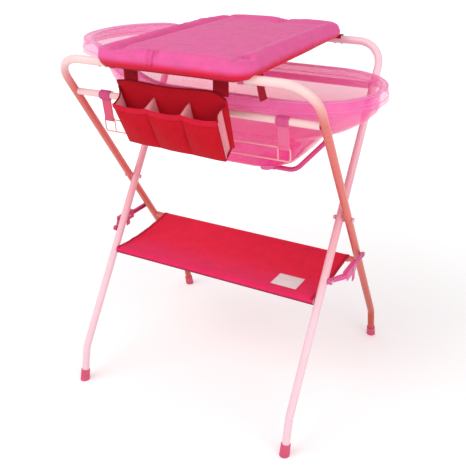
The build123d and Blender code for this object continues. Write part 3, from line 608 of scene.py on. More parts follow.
def stitches(name, lines, finish, length=0.0030, gap=0.0016, radius=0.00035, ends=0.45):
    """Rows of small stitches that follow lines of points on a surface, narrower at their ends."""
    points = []
    faces = []
    for line in lines:
        total = np.linalg.norm(np.diff(np.array(line, float), axis=0), axis=1).sum()
        count = max(2, int(total / (length + gap)))
        spots = evenly(line, 2 * count + 1)
        for start, end in zip(spots[0:-1:2], spots[1::2]):
            way = end - start
            aside = np.cross(way, (0.3, 0.2, 1.0))
            aside *= radius / max(np.linalg.norm(aside), 1e-9)
            over = np.cross(way, aside)
            over *= radius / max(np.linalg.norm(over), 1e-9)
            first = len(points)
            for share, grow in ((0.0, ends), (0.5, 1.0), (1.0, ends)):
                centre = start + share * way
                points += [centre + grow * q for q in (aside, over, -aside, -over)]
            faces += grid_faces(3, 4, closed=True, start=first) + cap_faces(3, 4, start=first)
    return rest_on(points, name, faces, finish)


def swell(piece, held, cap, pressure=4.0, slack=0.03, steps=20):
    """Lets padding push the cover out in a short cloth simulation, and keeps it within cap."""
    start = points_of(piece)
    group = piece.vertex_groups.new(name="sewn")
    group.add([int(i) for i in np.nonzero(held)[0]], 1.0, "REPLACE")
    settings = piece.modifiers.new("cloth", "CLOTH").settings
    settings.vertex_group_mass = "sewn"
    settings.use_pressure = True
    settings.uniform_pressure_force = pressure
    settings.effector_weights.gravity = 0
    settings.shrink_min = -slack
    settings.quality = 4
    scene = bpy.context.scene
    for step in range(1, steps + 1):
        scene.frame_set(step)
    move = points_of(piece.evaluated_get(bpy.context.evaluated_depsgraph_get())) - start
    length = np.linalg.norm(move, axis=1)
    move *= (np.minimum(length, cap) / np.maximum(length, 1e-9))[:, None]
    piece.modifiers.clear()
    scene.frame_set(1)
    move_points(piece, start + move)


def dress(finish, *names):
    """Gives CAD nodes a finish."""
    for name in names:
        materials = frame["nodes"][name].data.materials
        materials.clear()
        materials.append(finish)


def soften(names, width=0.0006, weld=0.00002, sharp=40):
    """Rounds the edges of CAD nodes that are sharper than sharp degrees, where they are drawn."""
    for name in names:
        node = frame["nodes"][name]
        node.modifiers.new("weld", "WELD").merge_threshold = weld
        bevel = node.modifiers.new("edge", "BEVEL")
        bevel.width = width
        bevel.segments = 2
        bevel.limit_method = "ANGLE"
        bevel.angle_limit = math.radians(sharp)
        bevel.harden_normals = True


class Maker:
    """What the operators share: they can be undone."""

    bl_options = {"REGISTER", "UNDO"}


class CHANGING_OT_frame(Maker, bpy.types.Operator):
    """Paint the hoops, rails, shelf tubes, pivots and towel rack"""

    bl_idname = "changing.frame"
    bl_label = "Frame paint"

    def execute(self, context):
        paint = context.scene.changing_paint
        bar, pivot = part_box("front_top_bar")[1].z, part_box("pivot_bolts")[1].z
        # Colours that change with height along the legs are painted light and shade over the hoops' own
        # paint.
        middle = (0.25 * pivot, 1.1 * pivot, paint.coral)
        corner = (bar - 0.11, bar - 0.008, paint.bar)
        outer = paint_finish("outer_leg_paint", paint.shaded_low_coral, middle, corner)
        at_pivot = (0.5 * pivot, pivot, paint.rose)
        above = (pivot, bar - 0.1, paint.rear_bar)
        inner = paint_finish("inner_leg_paint", paint.pale, at_pivot, above)
        dress(outer, "front_frame_left_leg", "front_frame_right_leg")
        dress(inner, "rear_frame_left_leg", "rear_frame_right_leg")
        plain = (
            ("bar_paint", paint.bar, "front_top_bar", "front_tub_rail", "shelf_front_tube"),
            ("rear_bar_paint", paint.rear_bar, "rear_top_bar", "rear_tub_rail"),
            ("rear_tube_paint", paint.coral, "shelf_rear_tube"),
            ("pivot_paint", paint.rose, "pivot_bolts", "pivot_nuts", "pivot_spacers"),
            ("wire_coat", paint.wire, "wire_rack"),
        )
        for name, colour, *nodes in plain:
            dress(paint_finish(name, colour), *nodes)
        return {"FINISHED"}


class CHANGING_OT_fittings(Maker, bpy.types.Operator):
    """Finish the plastic and steel fittings"""

    bl_idname = "changing.fittings"
    bl_label = "Fittings"

    def execute(self, context):
        plastic = context.scene.changing_plastic
        sides = ("left", "right")
        feet = [f"{end}_{side}_foot_cap" for end in ("front", "rear") for side in sides]
        stays = [f"stay_{end}_{side}" for side in sides for end in ("front", "rear")]
        pins = [f"stay_{part}_pin_{side}" for part in ("middle", "end") for side in sides]
        dress(plastic_finish("foot_plastic", plastic.foot, rough=0.45), *feet)
        # The left stays get a darker copy of the stay plastic as painted shade.
        dress(plastic_finish("left_stay_plastic", plastic.shaded_left_stay), *stays[:2])
        dress(plastic_finish("stay_plastic", plastic.stay), *stays[2:])
        dress(plastic_finish("clip_plastic", plastic.clip), "mat_front_hooks", "mat_hinge_saddles")
        dress(self.rack_clip_finish(plastic), "rack_clips")
        dress(plastic_finish("hose_plastic", plastic.hose, grain=0.002), "drain_hose", "hose_cap")
        dress(plastic_finish("drain_plastic", plastic.drain), "drain_fitting", "drain_nut", "drain_plug")
        steel = steel_finish("plated_steel", plastic.steel)
        dress(steel, "stay_studs", "front_bar_rivets", "rear_bar_rivets", *pins)
        soften(stays + ["rack_clips", "mat_front_hooks", "pivot_nuts", *feet])
        return {"FINISHED"}

    def rack_clip_finish(self, plastic, rib_pitch=0.004, rib_depth=0.0006):
        """Ribbed clip plastic, whose hanging tabs are paler at the right as painted light and redder at the
        left as painted shade.
        """
        made = Finish("rack_clip_plastic", IOR=1.46)
        low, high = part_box("front_tub_rail")
        tab = made.mix(made.along("X").band(low.x / 2, high.x / 2), plastic.left_tab_shade, plastic.right_tab_light)
        ring = made.along("Z").band(low.z - 0.006, low.z)
        rib = made.along("X").wave(rib_pitch)
        made.set("Base Color", made.mix(ring, tab, made.tone(rib, plastic.clip, 0.93, 1.03)))
        made.set("Roughness", made.noise(0.015).band(0.25, 0.75, 0.34, 0.46))
        made.set("Normal", made.relief(rib * ring, rib_depth))
        return made.owner


# Tub. Each row of the wall: shares of height, left end, right end and half-width, then its corners.
WALL_SHARES = (
    (0.0, 0.504, 0.528, 0.64, 0.72),
    (0.115, 0.566, 0.586, 0.69, 0.72),
    (0.26, 0.618, 0.643, 0.77, 0.72),
    (0.443, 0.67, 0.74, 0.85, 0.74),
    (0.547, 0.712, 0.885, 0.875, 0.78),
    (0.677, 0.764, 0.99, 0.905, 0.84),
    (0.844, 0.805, 0.995, 0.935, 0.90),
    (1.0, 0.852, 1.0, 0.975, 0.94),
    (1.41, 0.975, 1.01, 1.0, 0.95),
)
# Floor: its rings as shares of the way out, and where its edge turns up.
FLOOR_SHARES = (0.05, 0.25, 0.45, 0.65, 0.82, 0.92, 0.97)
FLOOR_EDGE = 0.95
# Shares of the wall's height: its rings, its inner edge, and where the ledge ends.
WALL_RINGS = np.linspace(0.02, 0.975, 52)
INNER_EDGE = 0.99
LEDGE_TOP = (0.885, 0.905)
# How far under the rim line the inner edge's highlight bead lies.
HIGHLIGHT_BEAD_DROP = 0.0010
# Rim: how far each ring lies from the wall to the edge, and how far under the line between them.
RIM_STEPS = ((0.0, 0.0017), (0.12, 0.0006), (0.35, 0.0001), (0.65, 0.0), (0.9, 0.0001))
# Lip: how far out from the top edge and how far down it each ring lies, as shares of the lip.
LIP_STEPS = (
    (0.03, 0.03), (0.10, 0.12), (0.20, 0.26), (0.34, 0.42), (0.46, 0.56), (0.56, 0.63),
    (0.74, 0.67), (0.80, 0.72), (0.78, 0.80), (0.84, 0.90), (0.97, 0.96), (1.0, 1.0),
)


class CHANGING_OT_tub(Maker, bpy.types.Operator):
    """Build the translucent tub with its hanging lip, raised head end and pale beads on its edges as painted
    highlights
    """

    bl_idname = "changing.tub"
    bl_label = "Tub"

    def places(self):
        """Places round a rounded rectangle: the turn, and the sides of a square from -1 to 1."""
        in_corner, on_side, on_end = self.sizes.around // 8, self.sizes.around // 6, 8
        corners = np.array([(1, 1), (-1, 1), (-1, -1), (1, -1)])
        rows = []
        for k, corner in enumerate(corners):
            way = corners[(k + 1) % 4] - corner
            for share in np.linspace(0, 1, in_corner, endpoint=False):
                rows.append((math.radians(90 * (k + share)), *corner))
            for share in np.linspace(0, 1, on_end if k % 2 else on_side, endpoint=False):
                rows.append((math.radians(90 * (k + 1)), *(corner + share * way)))
        return np.array(rows).T

    def ring(self, left, right, half, radius):
        """Rounded rectangle with its left end, right end and half-width given place by place."""
        turns, across, deep = self.around
        middle, reach = (right - left) / 2, (right + left) / 2
        x = middle + (reach - radius) * across + radius * np.cos(turns)
        return x, (half - radius) * deep + radius * np.sin(turns)

    def rim_line(self, x):
        """Height of the rim over the floor."""
        rise = self.high.z - self.low.z - self.sizes.rim_depth
        return self.sizes.rim_depth + rise * smooth(ramp(-x, self.sizes.rise_start, self.sizes.rise_end))

    def wall_table(self, steps=95):
        """The rows of the wall, at finer heights and with soft bends."""
        rows = np.array(WALL_SHARES).T
        heights = np.linspace(0, rows[0, -1], steps)
        blur = np.array([1, 2, 3, 2, 1]) / 9
        columns = [np.pad(np.interp(heights, rows[0], row), 2, mode="edge") for row in rows[1:]]
        return np.stack([heights, *(np.convolve(column, blur, "valid") for column in columns)])

    def wall_ring(self, share, rounds=6):
        """Ring of the wall's inner face, share of the way from the floor to the rim line.

        The rim line's height depends on where the ring lies, so both are found in a few rounds.
        """
        wall = self.sizes.wall
        height = np.full(len(self.around[0]), float(share))
        for _ in range(rounds):
            left, right, half, radius = [np.interp(height, self.table[0], row) for row in self.table[1:]]
            half = half * self.width - wall
            x, y = self.ring(left * self.length - wall, right * self.length - wall, half, radius * half)
            height = share * self.rim_line(x) / self.sizes.rim_depth
        scale = 1 - self.sizes.ledge * (1 - ramp(share, *LEDGE_TOP)) / np.hypot(x, y)
        z = self.low.z + wall + height * (self.sizes.rim_depth - wall)
        return np.stack([x * scale, y * scale, z], axis=1)

    def edge_ring(self, out, down):
        """Ring of the rim: out is a share of the lip's slant, down a share of its height."""
        slant = self.sizes.slant * (1 - out)
        end = np.array(self.high.x - self.sizes.end_slant * (1 - out))
        x, y = self.ring(end, end, self.high.y - slant, self.sizes.corner - slant)
        z = self.low.z + self.rim_line(x) - down * self.sizes.lip
        return np.stack([x, y, z], axis=1)

    def floor_rings(self):
        """Rings of the floor, from its middle out, the last one a hair higher."""
        outer = self.wall_ring(0.0)
        middle = np.array([outer[:, 0].max() + outer[:, 0].min(), 0, 0]) / 2
        rings = []
        for share in FLOOR_SHARES:
            ring = (outer - middle) * (share, share, 1) + middle
            ring[:, 2] = self.low.z + self.sizes.wall + 0.003 * max(0.0, share - FLOOR_EDGE)
            rings.append(ring)
        return rings

    def execute(self, context):
        self.sizes = context.scene.changing_tub
        self.low, self.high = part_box("tub_shell")
        self.around = self.places()
        self.length = self.high.x - self.sizes.rim
        self.width = self.high.y - self.sizes.rim
        self.table = self.wall_table()
        rings = self.floor_rings()
        rings += [self.wall_ring(share) for share in WALL_RINGS]
        inner, edge = self.wall_ring(INNER_EDGE), self.edge_ring(0.0, 0.0)
        level = self.low.z + self.rim_line(inner[:, 0])
        for share, drop in RIM_STEPS:
            ring = inner + share * (edge - inner)
            ring[:, 2] = (1 - share) * level + share * edge[:, 2] - drop
            rings.append(ring)
        rings += [self.edge_ring(out, down) for out, down in LIP_STEPS]
        count = len(edge)
        faces = [tuple(range(count))] + grid_faces(len(rings), count, closed=True)
        tub = rest_on(np.concatenate(rings), "tub", faces, tub_finish(self.sizes))
        settle(tub, ("SOLIDIFY", {"thickness": self.sizes.wall, "offset": -1.0}))
        # Pale cords on the rim's edges, as painted highlights where the edges catch the light.
        highlight_bead = plastic_finish("tub_bead_plastic", self.sizes.highlight_bead, grain=0.003, depth=0.00004, rough=0.22)
        inner_edge = np.column_stack([inner[:, :2], level - HIGHLIGHT_BEAD_DROP])
        lines = (
            ("tub_top_bead", self.edge_ring(0.04, 0.02), 0.0011),
            ("tub_low_bead", self.edge_ring(0.80, 0.70), 0.0007),
            ("tub_inner_bead", inner_edge, 0.0013),
        )
        highlight_beads = [cord_between(name, line, radius, highlight_bead, closed=True) for name, line, radius in lines]
        for piece in (tub, *highlight_beads):
            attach(piece, "tub")
        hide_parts("tub_shell")
        return {"FINISHED"}


# Mat. Places in radii of its border: the inner seam, where the border ends, how far its slope goes
# and how far from the left edge the seam is held.
SEAM = 2.6
BORDER_END = 2.4
SLOPE = 2.3
SEAM_HELD = 3.2
# How far each side is drawn in between its corners, and how much the middle rises inside the well.
DRAW = 0.003
CROWN = ((0.45, 0.0008), (0.7, 0.0016), (1, 0.002))


class CHANGING_OT_mat(Maker, bpy.types.Operator):
    """Build the padded mat and finish its board"""

    bl_idname = "changing.mat"
    bl_label = "Changing mat"

    def outline(self, inset, count=220):
        """Ring of points inside the mat's outline, its sides drawn in between the corners."""
        radius = max(self.sizes.corner - inset, 0.004)
        points = []
        left, right = self.low.x + inset + radius, self.high.x - inset - radius
        front, back = self.low.y + inset + radius, self.high.y - inset - radius
        for k, corner in enumerate(((right, back), (left, back), (left, front), (right, front))):
            points += arc(corner, radius, 90 * k, 90 * (k + 1), 13)
        line = evenly(points, count, closed=True)
        share = (line - self.middle) / self.half
        draw = DRAW * (1 - np.clip(np.abs(share[:, ::-1]), 0, 1) ** 2)
        return line - np.sign(share) * draw * (np.abs(share) > 0.7)

    def profile(self):
        """Cross-section of the mat, from under its middle round to its top: inset and height."""
        radius = self.sizes.border
        middle = self.bottom + radius
        inner = min(self.half) - 0.012
        level = middle + radius - self.sizes.well
        steps = [(at, self.bottom) for at in (inner, 0.7 * inner, 0.4 * inner, 2 * radius)]
        steps += arc((radius, middle), radius, -90, -270, 22)
        for turn in np.linspace(0.12, 1, 9):
            fall = self.sizes.well * (1 - math.cos(math.pi * turn)) / 2
            steps.append((radius * (1 + SLOPE * turn), middle + radius - fall))
        steps += [(at * inner, level + rise) for at, rise in CROWN]
        return steps

    def hang(self, points):
        """Lets the front and right borders hang lower than those of the solid."""
        radius = self.sizes.border
        x, y, z = points.T
        front = ramp(y, self.low.y + BORDER_END * radius, self.low.y + radius)
        right = ramp(x, self.high.x - BORDER_END * radius, self.high.x - radius)
        under = ramp(z, self.bottom + 2 * radius, self.bottom)
        back = ramp(y, self.low.y, self.high.y)
        share = np.maximum(front, self.sizes.right_share * right * (1 - 0.8 * back * back))
        return points - np.outer(self.sizes.front_hang * smooth(share) * under, (0, 0, 1))

    def inset(self, points):
        """Distance of each point inside the mat's outline."""
        corner = self.sizes.corner
        q = np.abs(points[:, :2] - self.middle) - (self.half - corner)
        outside = np.hypot(np.maximum(q[:, 0], 0), np.maximum(q[:, 1], 0))
        return corner - outside - np.minimum(np.maximum(q[:, 0], q[:, 1]), 0)

    def sewn(self, points, near=0.0035):
        """Where the cover is held: the underside, the left part of the inner seam and the gathers."""
        held = points[:, 2] < self.bottom + near
        seam = np.abs(self.inset(points) - SEAM * self.sizes.border) < near
        held |= seam & (points[:, 0] < self.low.x + SEAM_HELD * self.sizes.border)
        for x, y, _, _ in self.gathers:
            held |= np.hypot(points[:, 0] - x, points[:, 1] - y) < self.sizes.cell
        return held

    def gather(self, points, x, y, turn, reach, pitch=0.0036, width=0.017):
        """Pinch sewn across the border, with short folds that run from it, as moves of the points."""
        c, s = math.cos(math.radians(turn)), math.sin(math.radians(turn))
        dx, dy = points[:, 0] - x, points[:, 1] - y
        across, along = dx * c + dy * s, dy * c - dx * s
        fan = np.cos(across / pitch + 2.5 * along / reach) ** 2
        near = np.exp(-(across / width) ** 2 - (along / reach) ** 2)
        inward = np.sign((self.middle[1] - y) * c - (self.middle[0] - x) * s)
        way = np.array([-inward * s, inward * c, -1.0]) / math.sqrt(2)
        return (near * (self.sizes.pinch + self.sizes.fold * fan))[:, None] * way

    def cover_finish(self):
        """Cloth that turns from the top's colour to the side's at the border's lower half, with painted
        shade at its bottom.
        """

        def underside(made):
            height = made.along("Z") + made.noise(0.05) * 0.003
            return 1 - height.band(self.bottom + 0.001, self.bottom + 0.019)

        # Painted shade along the cover's bottom edge.
        def shaded(made):
            return 1 - made.along("Z").band(self.bottom - 0.011, self.bottom - 0.003)

        return cloth_finish(
            "mat_cover", self.sizes.top, pitch=0.0009, depth=0.0001, rough=0.55,
            other=self.sizes.side, split=underside, shaded=shaded,
        )

    def creased(self, points):
        """The settled cover with its inner seam, pleats and gathers."""
        x, y, z = points.T
        radius = self.sizes.border
        above = z > self.bottom + 0.006
        pleats = soft_noise(7, 9, 14.0)(x * 2.1 + y * 1.7, x - y)
        valley = np.exp(-((self.inset(points) - SEAM * radius) / 0.012) ** 2) * above
        left = ramp(x, self.low.x + 5 * radius, self.low.x + 3 * radius)
        points[:, 2] += valley * (self.sizes.pleat * pleats - self.sizes.dip * left)
        for spot in self.gathers:
            points += self.gather(points, *spot) * above[:, None]
        points[:, 2] = np.maximum(points[:, 2], self.bottom - self.sizes.front_hang)
        return points

    def execute(self, context):
        self.sizes = context.scene.changing_mat
        self.low, self.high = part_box("mat_pad")
        self.bottom = self.low.z + self.sizes.front_drop
        low, high = np.array(self.low)[:2], np.array(self.high)[:2]
        self.middle, self.half = (low + high) / 2, (high - low) / 2
        radius = self.sizes.border
        middle, half = self.middle[0], self.half[0]
        front, back = self.low.y + radius, self.high.y - radius
        # Gathers: x, y, the turn of their folds in degrees and how far these reach.
        self.gathers = [
            (middle - 0.18 * half, front, 0, 0.032),
            (middle + 0.82 * half, front + 2.6 * radius, 0, 0.016),
            (middle + 0.12 * half, back - 1.6 * radius, 0, 0.026),
            (self.low.x + radius, back - 1.5 * radius, 90, 0.016),
            (self.low.x + 3.4 * radius, front + 0.9 * radius, 30, 0.014),
        ]
        rings = []
        for inset, height in self.profile():
            line = self.outline(inset)
            rings.append(np.column_stack([line, np.full(len(line), height)]))
        count = len(rings[0])
        faces = grid_faces(len(rings), count, closed=True) + cap_faces(len(rings), count)
        mat = rest_on(self.hang(np.concatenate(rings)), "changing_mat", faces, self.cover_finish())
        settle(mat, ("REMESH", {"mode": "VOXEL", "voxel_size": self.sizes.cell}))
        swell(mat, self.sewn(points_of(mat)), self.sizes.swell)
        settle(mat, ("SUBSURF", {"levels": 1, "render_levels": 1}))
        move_points(mat, self.creased(points_of(mat)))
        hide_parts("mat_pad")
        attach(mat, "mat")
        board = plastic_finish("board_skin", self.sizes.side, grain=0.004, depth=0.0001, rough=0.6)
        dress(board, "mat_board")
        return {"FINISHED"}


class CHANGING_OT_straps(Maker, bpy.types.Operator):
    """Build the webbing of the bag and what is sewn under the mat"""

    bl_idname = "changing.straps"
    bl_label = "Webbing"

    def execute(self, context):
        self.sizes = context.scene.changing_bag
        self.hanging(webbing_finish("dark_webbing", self.sizes.webbing))
        red = webbing_finish("tie_webbing", self.sizes.tie)
        self.sleeves(red)
        self.tie(red)
        return {"FINISHED"}

    def hanging(self, finish):
        """Straps from the bag's panel round the front bar, sewn across at their ends."""
        width = self.sizes.strap
        bar = axis_of("front_top_bar")
        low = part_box("bag_straps")[0].z
        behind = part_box("bag_back_panel")[1].y + 0.0011
        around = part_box("front_top_bar")[1].z - bar[1] + 0.0009
        line = [(behind, low), (behind, bar[1] - 0.0135)] + arc(bar, around, -50, 230, 28)
        pieces = []
        seams = []
        for x in pair_of_places("bag_straps", width):
            pieces.append(webbing("strap", line, x, width, finish))
            for up in (0.0027, 0.00765):
                ends = (x - 0.45 * width, x + 0.45 * width)
                seams.append([(end, behind + WEBBING / 2, low + up) for end in ends])
        straps = joined("bag_hanging_straps", pieces)
        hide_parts("bag_straps")
        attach(straps, "front_frame")
        thread = cloth_finish("seam_thread", scaled(self.sizes.webbing, 1.25), pitch=0.0006)
        sewn = stitches("strap_stitches", seams, thread)
        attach(sewn, "front_frame")

    def sleeves(self, finish):
        """Webbing loops under the mat that turn on the saddles of the rear bar."""
        width = self.sizes.sleeve
        bar = axis_of("rear_top_bar")
        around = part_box("mat_hinge_saddles")[1].z - bar[1] + 0.0013
        pieces = []
        for x in pair_of_places("mat_rear_sleeves", width):
            for start, end in ((18, 62), (118, 162)):
                pieces.append(webbing("sleeve", arc(bar, around, start, end, 9), x, width, finish))
        sleeves = joined("mat_sleeves", pieces)
        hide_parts("mat_rear_sleeves")
        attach(sleeves, "mat")

    def tie(self, finish):
        """Tab under the mat's right edge, with its tail hanging beside the bar."""
        low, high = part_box("mat_tie_strap")
        tab = [(x, high.z - 0.0012) for x in np.linspace(low.x + 0.002, high.x - 0.004, 6)]
        turn = arc((high.x - 0.004, high.z - 0.0045), 0.0033, 90, 0, 5)
        start, drop = high.x - 0.0007, low.z - self.sizes.tail - high.z
        tail = [(start + 0.011 * t * t, high.z - 0.007 + t * drop) for t in np.linspace(0, 1, 9)]
        line = evenly(tab + turn + tail, 26)
        grid = np.array([[(x, y, z) for y in np.linspace(low.y, high.y, 7)] for x, z in line])
        piece = strap("mat_tie", grid, 0.0014, 0.0003, finish)
        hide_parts("mat_tie_strap")
        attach(piece, "mat")


# Bag. Thickness of its cloths, columns of a pocket's sheet and rows of its front.
PANEL_CLOTH = 0.0014
POCKET_CLOTH = 0.0012
GUSSET_CLOTH = 0.0010
POCKET_COLUMNS = 24
FRONT_ROWS = 18
# Shares of the panel's width where the straps hold it, and where it begins to droop at its ends.
HELD = (0.12, 0.88)
RIGHT_END = 0.86
LEFT_END = 0.1
# How far under the panel's edge a divider and an end gusset begin.
DIVIDER_DROP = 0.026
END_DROP = 0.012


class CHANGING_OT_bag(Maker, bpy.types.Operator):
    """Build the organiser bag: back panel, pockets, gussets, side flap, bindings and stitches"""

    bl_idname = "changing.bag"
    bl_label = "Organiser bag"

    def measure(self):
        """Corners of the bag, worked out from its solids."""
        panel_low, panel_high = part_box("bag_back_panel")
        pocket_low, pocket_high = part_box("bag_pockets")
        self.back_y, self.back_top, self.back_bottom = panel_low.y, panel_high.z, panel_low.z
        self.mouth, self.bottom = pocket_high.z, pocket_low.z
        self.front_top_y = pocket_low.y
        self.front_bottom_y = pocket_low.y + self.sizes.taper
        self.left_top, self.right_bottom = panel_low.x, panel_high.x
        self.right_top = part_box("bag_binding")[1].x
        down = (self.back_top - self.mouth) / (self.back_top - self.back_bottom)
        self.left_bottom = self.left_top + (pocket_low.x - self.left_top) / down

    def side(self, share, height):
        """X of a place across the bag, share of the way from its left edge, at a height."""
        down = (self.back_top - height) / (self.back_top - self.back_bottom)
        left = self.left_top + down * (self.left_bottom - self.left_top)
        right = self.right_top + down * (self.right_bottom - self.right_top)
        return left + share * (right - left)

    def panel_line(self, share):
        """Height of the back panel's top edge: it droops between the straps and at its ends."""
        droop = self.sizes.droop * np.sin(ramp(share, *HELD) * math.pi) ** 2
        right = self.sizes.right_droop * ramp(share, RIGHT_END, 1) ** 2
        left = self.sizes.left_droop * ramp(share, LEFT_END, 0)
        return self.back_top - 0.0005 - droop - right - left

    def panel_grid(self):
        across = np.linspace(0, 1, 57)
        top = self.panel_line(across)
        wave = soft_noise(11, 6, 2.4)
        rows = []
        for down in np.linspace(0, 1, 21):
            z = top + down * (self.back_bottom - top)
            lean = 0.0014 * wave(across, 0.7 * down + 0 * across) * (0.3 + 0.7 * (1 - down))
            rows.append(np.stack([self.side(across, z), self.back_y + 0.0008 + lean, z], axis=1))
        return np.array(rows)

    def pocket_profile(self):
        """Line (y, z, share of puff) from a pocket's mouth down its front and back under it."""
        line = []
        for t in np.linspace(0, 1, FRONT_ROWS):
            y = self.front_top_y + t * (self.front_bottom_y - self.front_top_y)
            z = self.mouth + t * (self.bottom - self.mouth)
            line.append((y, z, math.sin(math.pi * (0.06 + 0.9 * t)) ** 0.8))
        for t in np.linspace(0.12, 1, 9):
            y = self.front_bottom_y + t * (self.back_y - 0.001 - self.front_bottom_y)
            z = self.bottom + t * (self.back_bottom + 0.002 - self.bottom)
            line.append((y, z, 0.25 * (1 - t)))
        return line

    def hung(self, across, y, z):
        """Points of the pockets, which hang a little lower and further right than their solid."""
        z = z + np.zeros_like(across)
        loose = ramp(y, self.back_y, self.front_top_y)
        depth = (self.mouth - z) / (self.mouth - self.bottom)
        down = self.sizes.hang + self.sizes.tilt * across * (0.45 + 0.55 * depth)
        x = self.side(across, z) + self.sizes.shift * loose * (1 - 0.55 * across)
        return np.stack(np.broadcast_arrays(x, y, z - down * loose), axis=-1)

    def front_grid(self, seam_puff=0.55, crease=0.0016, mouth_dip=0.0045, mouth_bow=0.004):
        """One sheet for the pocket fronts, drawn in at the seams between them."""
        across = np.linspace(0, 1, POCKET_COLUMNS * self.sizes.pockets + 1)
        wave = soft_noise(23, 7, 3.0)
        local = (across * self.sizes.pockets) % 1.0
        local[-1] = 1.0
        rise = np.sin(math.pi * local)
        rows = []
        for r, (y, z, puff) in enumerate(self.pocket_profile()):
            out = self.sizes.puff * puff * np.abs(rise) ** seam_puff
            fold = crease * wave(1.2 * across, r / 26 + 0 * across) * np.abs(rise)
            dip = mouth_dip * rise * math.exp(-(r / 3.5) ** 2)
            bow = mouth_bow * rise * math.exp(-(r / 4.0) ** 2)
            rows.append(self.hung(across, y - out - fold + bow, z - dip))
        return np.array(rows)

    def band_grid(self, front):
        """Band sewn on along the pockets' mouths."""
        row = (self.mouth - self.bottom) / (FRONT_ROWS - 1)
        lines = []
        for t in np.linspace(0, 1, 5):
            out = 0.0012 + 0.0008 * math.sin(math.pi * t)
            lines.append(front[0] + t * self.sizes.band / row * (front[1] - front[0]) - (0, out, 0))
        return np.array(lines)

    def gusset_grid(self, share, top_drop, side=0):
        """Sheet from the back panel to the front at one seam; side folds it out to the left or right."""
        rows = []
        top_back = float(self.panel_line(share)) - top_drop
        back_y = self.back_y - 0.0015
        for v in np.linspace(0, 1, 12):
            back_z = top_back + v * (self.back_bottom + 0.004 - top_back)
            front_z = self.mouth - 0.002 + v * (self.bottom + 0.006 - self.mouth)
            front_y = self.front_top_y + v * (self.front_bottom_y - self.front_top_y) + 0.0012
            row = []
            for u in np.linspace(0, 1, 9):
                fold = side * 0.010 * math.sin(math.pi * u) * (0.4 + 0.6 * (1 - v))
                y, z = back_y + u * (front_y - back_y), back_z + u * (front_z - back_z)
                row.append(self.hung(np.array(share), y, z) - (fold, 0, 0))
            rows.append(row)
        return np.array(rows)

    def divider_grid(self, share, spread):
        """Gusset between two pockets: two sheets that part towards the front, closed at the top."""
        grid = self.gusset_grid(share, DIVIDER_DROP)
        rows, columns = grid.shape[:2]
        opened = spread * np.outer(np.linspace(1, 0.35, rows), np.linspace(0, 1, columns) ** 1.4)
        apart = opened[:, :, None] * (1, 0, 0)
        left, right = grid - apart, grid + apart
        cover = (left[:1] + right[:1]) / 2 - [0, 0, 0.0012]
        return np.concatenate([left[::-1], cover, right])

    def execute(self, context):
        self.sizes = context.scene.changing_bag
        self.measure()
        count = self.sizes.pockets
        red = cloth_finish("bag_cloth", self.sizes.cloth)
        pale = cloth_finish("gusset_cloth", self.sizes.gusset, pitch=0.0008)
        edge = cloth_finish("edge_cloth", self.sizes.edge, pitch=0.0008)
        bound = cloth_finish("mouth_cloth", self.sizes.mouth, pitch=0.0008)
        panel, front = self.panel_grid(), self.front_grid()
        back = cloth("bag_back", panel, PANEL_CLOTH, red)
        fronts = cloth("bag_pocket_fronts", front, POCKET_CLOTH, red)
        grids = [self.divider_grid(i / count, 0.011 - 0.0035 * i) for i in range(1, count)]
        ends = [self.gusset_grid(share, END_DROP, side) for share, side in ((0.0, -1), (1.0, 1))]
        parts = [cloth("gusset", grid, GUSSET_CLOTH, pale) for grid in grids + ends]
        flap = cloth("bag_side_flap", ends[1][:, :3] + [0.0016, 0, 0], POCKET_CLOTH, red)
        gussets = joined("bag_gussets", parts)
        bindings = (
            (panel[0], 0.0021, edge), (ends[0][0], 0.0019, edge), (ends[1][0], 0.0019, edge),
            (panel[:, 0], 0.0016, edge), (panel[:, -1], 0.0034, red),
        )
        edges = joined("bag_edges", [cord_between("binding", *binding) for binding in bindings])
        mouth = joined("bag_mouth", [
            cord_between("mouth_roll", front[0], 0.0019, bound),
            cloth("mouth_band", self.band_grid(front), POCKET_CLOTH, bound),
        ])
        seams = [front[:FRONT_ROWS, POCKET_COLUMNS * i] - [0, 0.0012, 0] for i in range(count + 1)]
        seams += [front[0] - [0, 0.0016, 0.0052], panel[0] - [0, 0.0012, 0.006]]
        sewn = stitches("bag_stitches", seams, bound)
        for piece in (back, fronts, gussets, flap, edges, mouth, sewn):
            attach(piece, "front_frame")
        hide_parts("bag_back_panel")
        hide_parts("bag_pockets")
        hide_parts("bag_binding")
        return {"FINISHED"}


# Shelf. Points of the cloth round each tube, and the thickness of the cloth, its hems and its patch.
WRAP_POINTS = 16
SHELF_CLOTH = 0.0011
HEM_CLOTH = 0.0024
PATCH_CLOTH = 0.0009
# Seams: how far the hems' are from the edge, those of the tubes from a tube's axis, and how high the
# stitches lie over the middle of a hem, of the cloth beside a tube and of the patch.
HEM_SEAM = 0.0065
TUBE_SEAM = 0.0125
ON_HEM = 0.0014
ON_CLOTH = 0.0007
ON_PATCH = 0.0006
# How high the middle of the patch lies over the middle of the cloth.
PATCH_LIFT = 0.0012


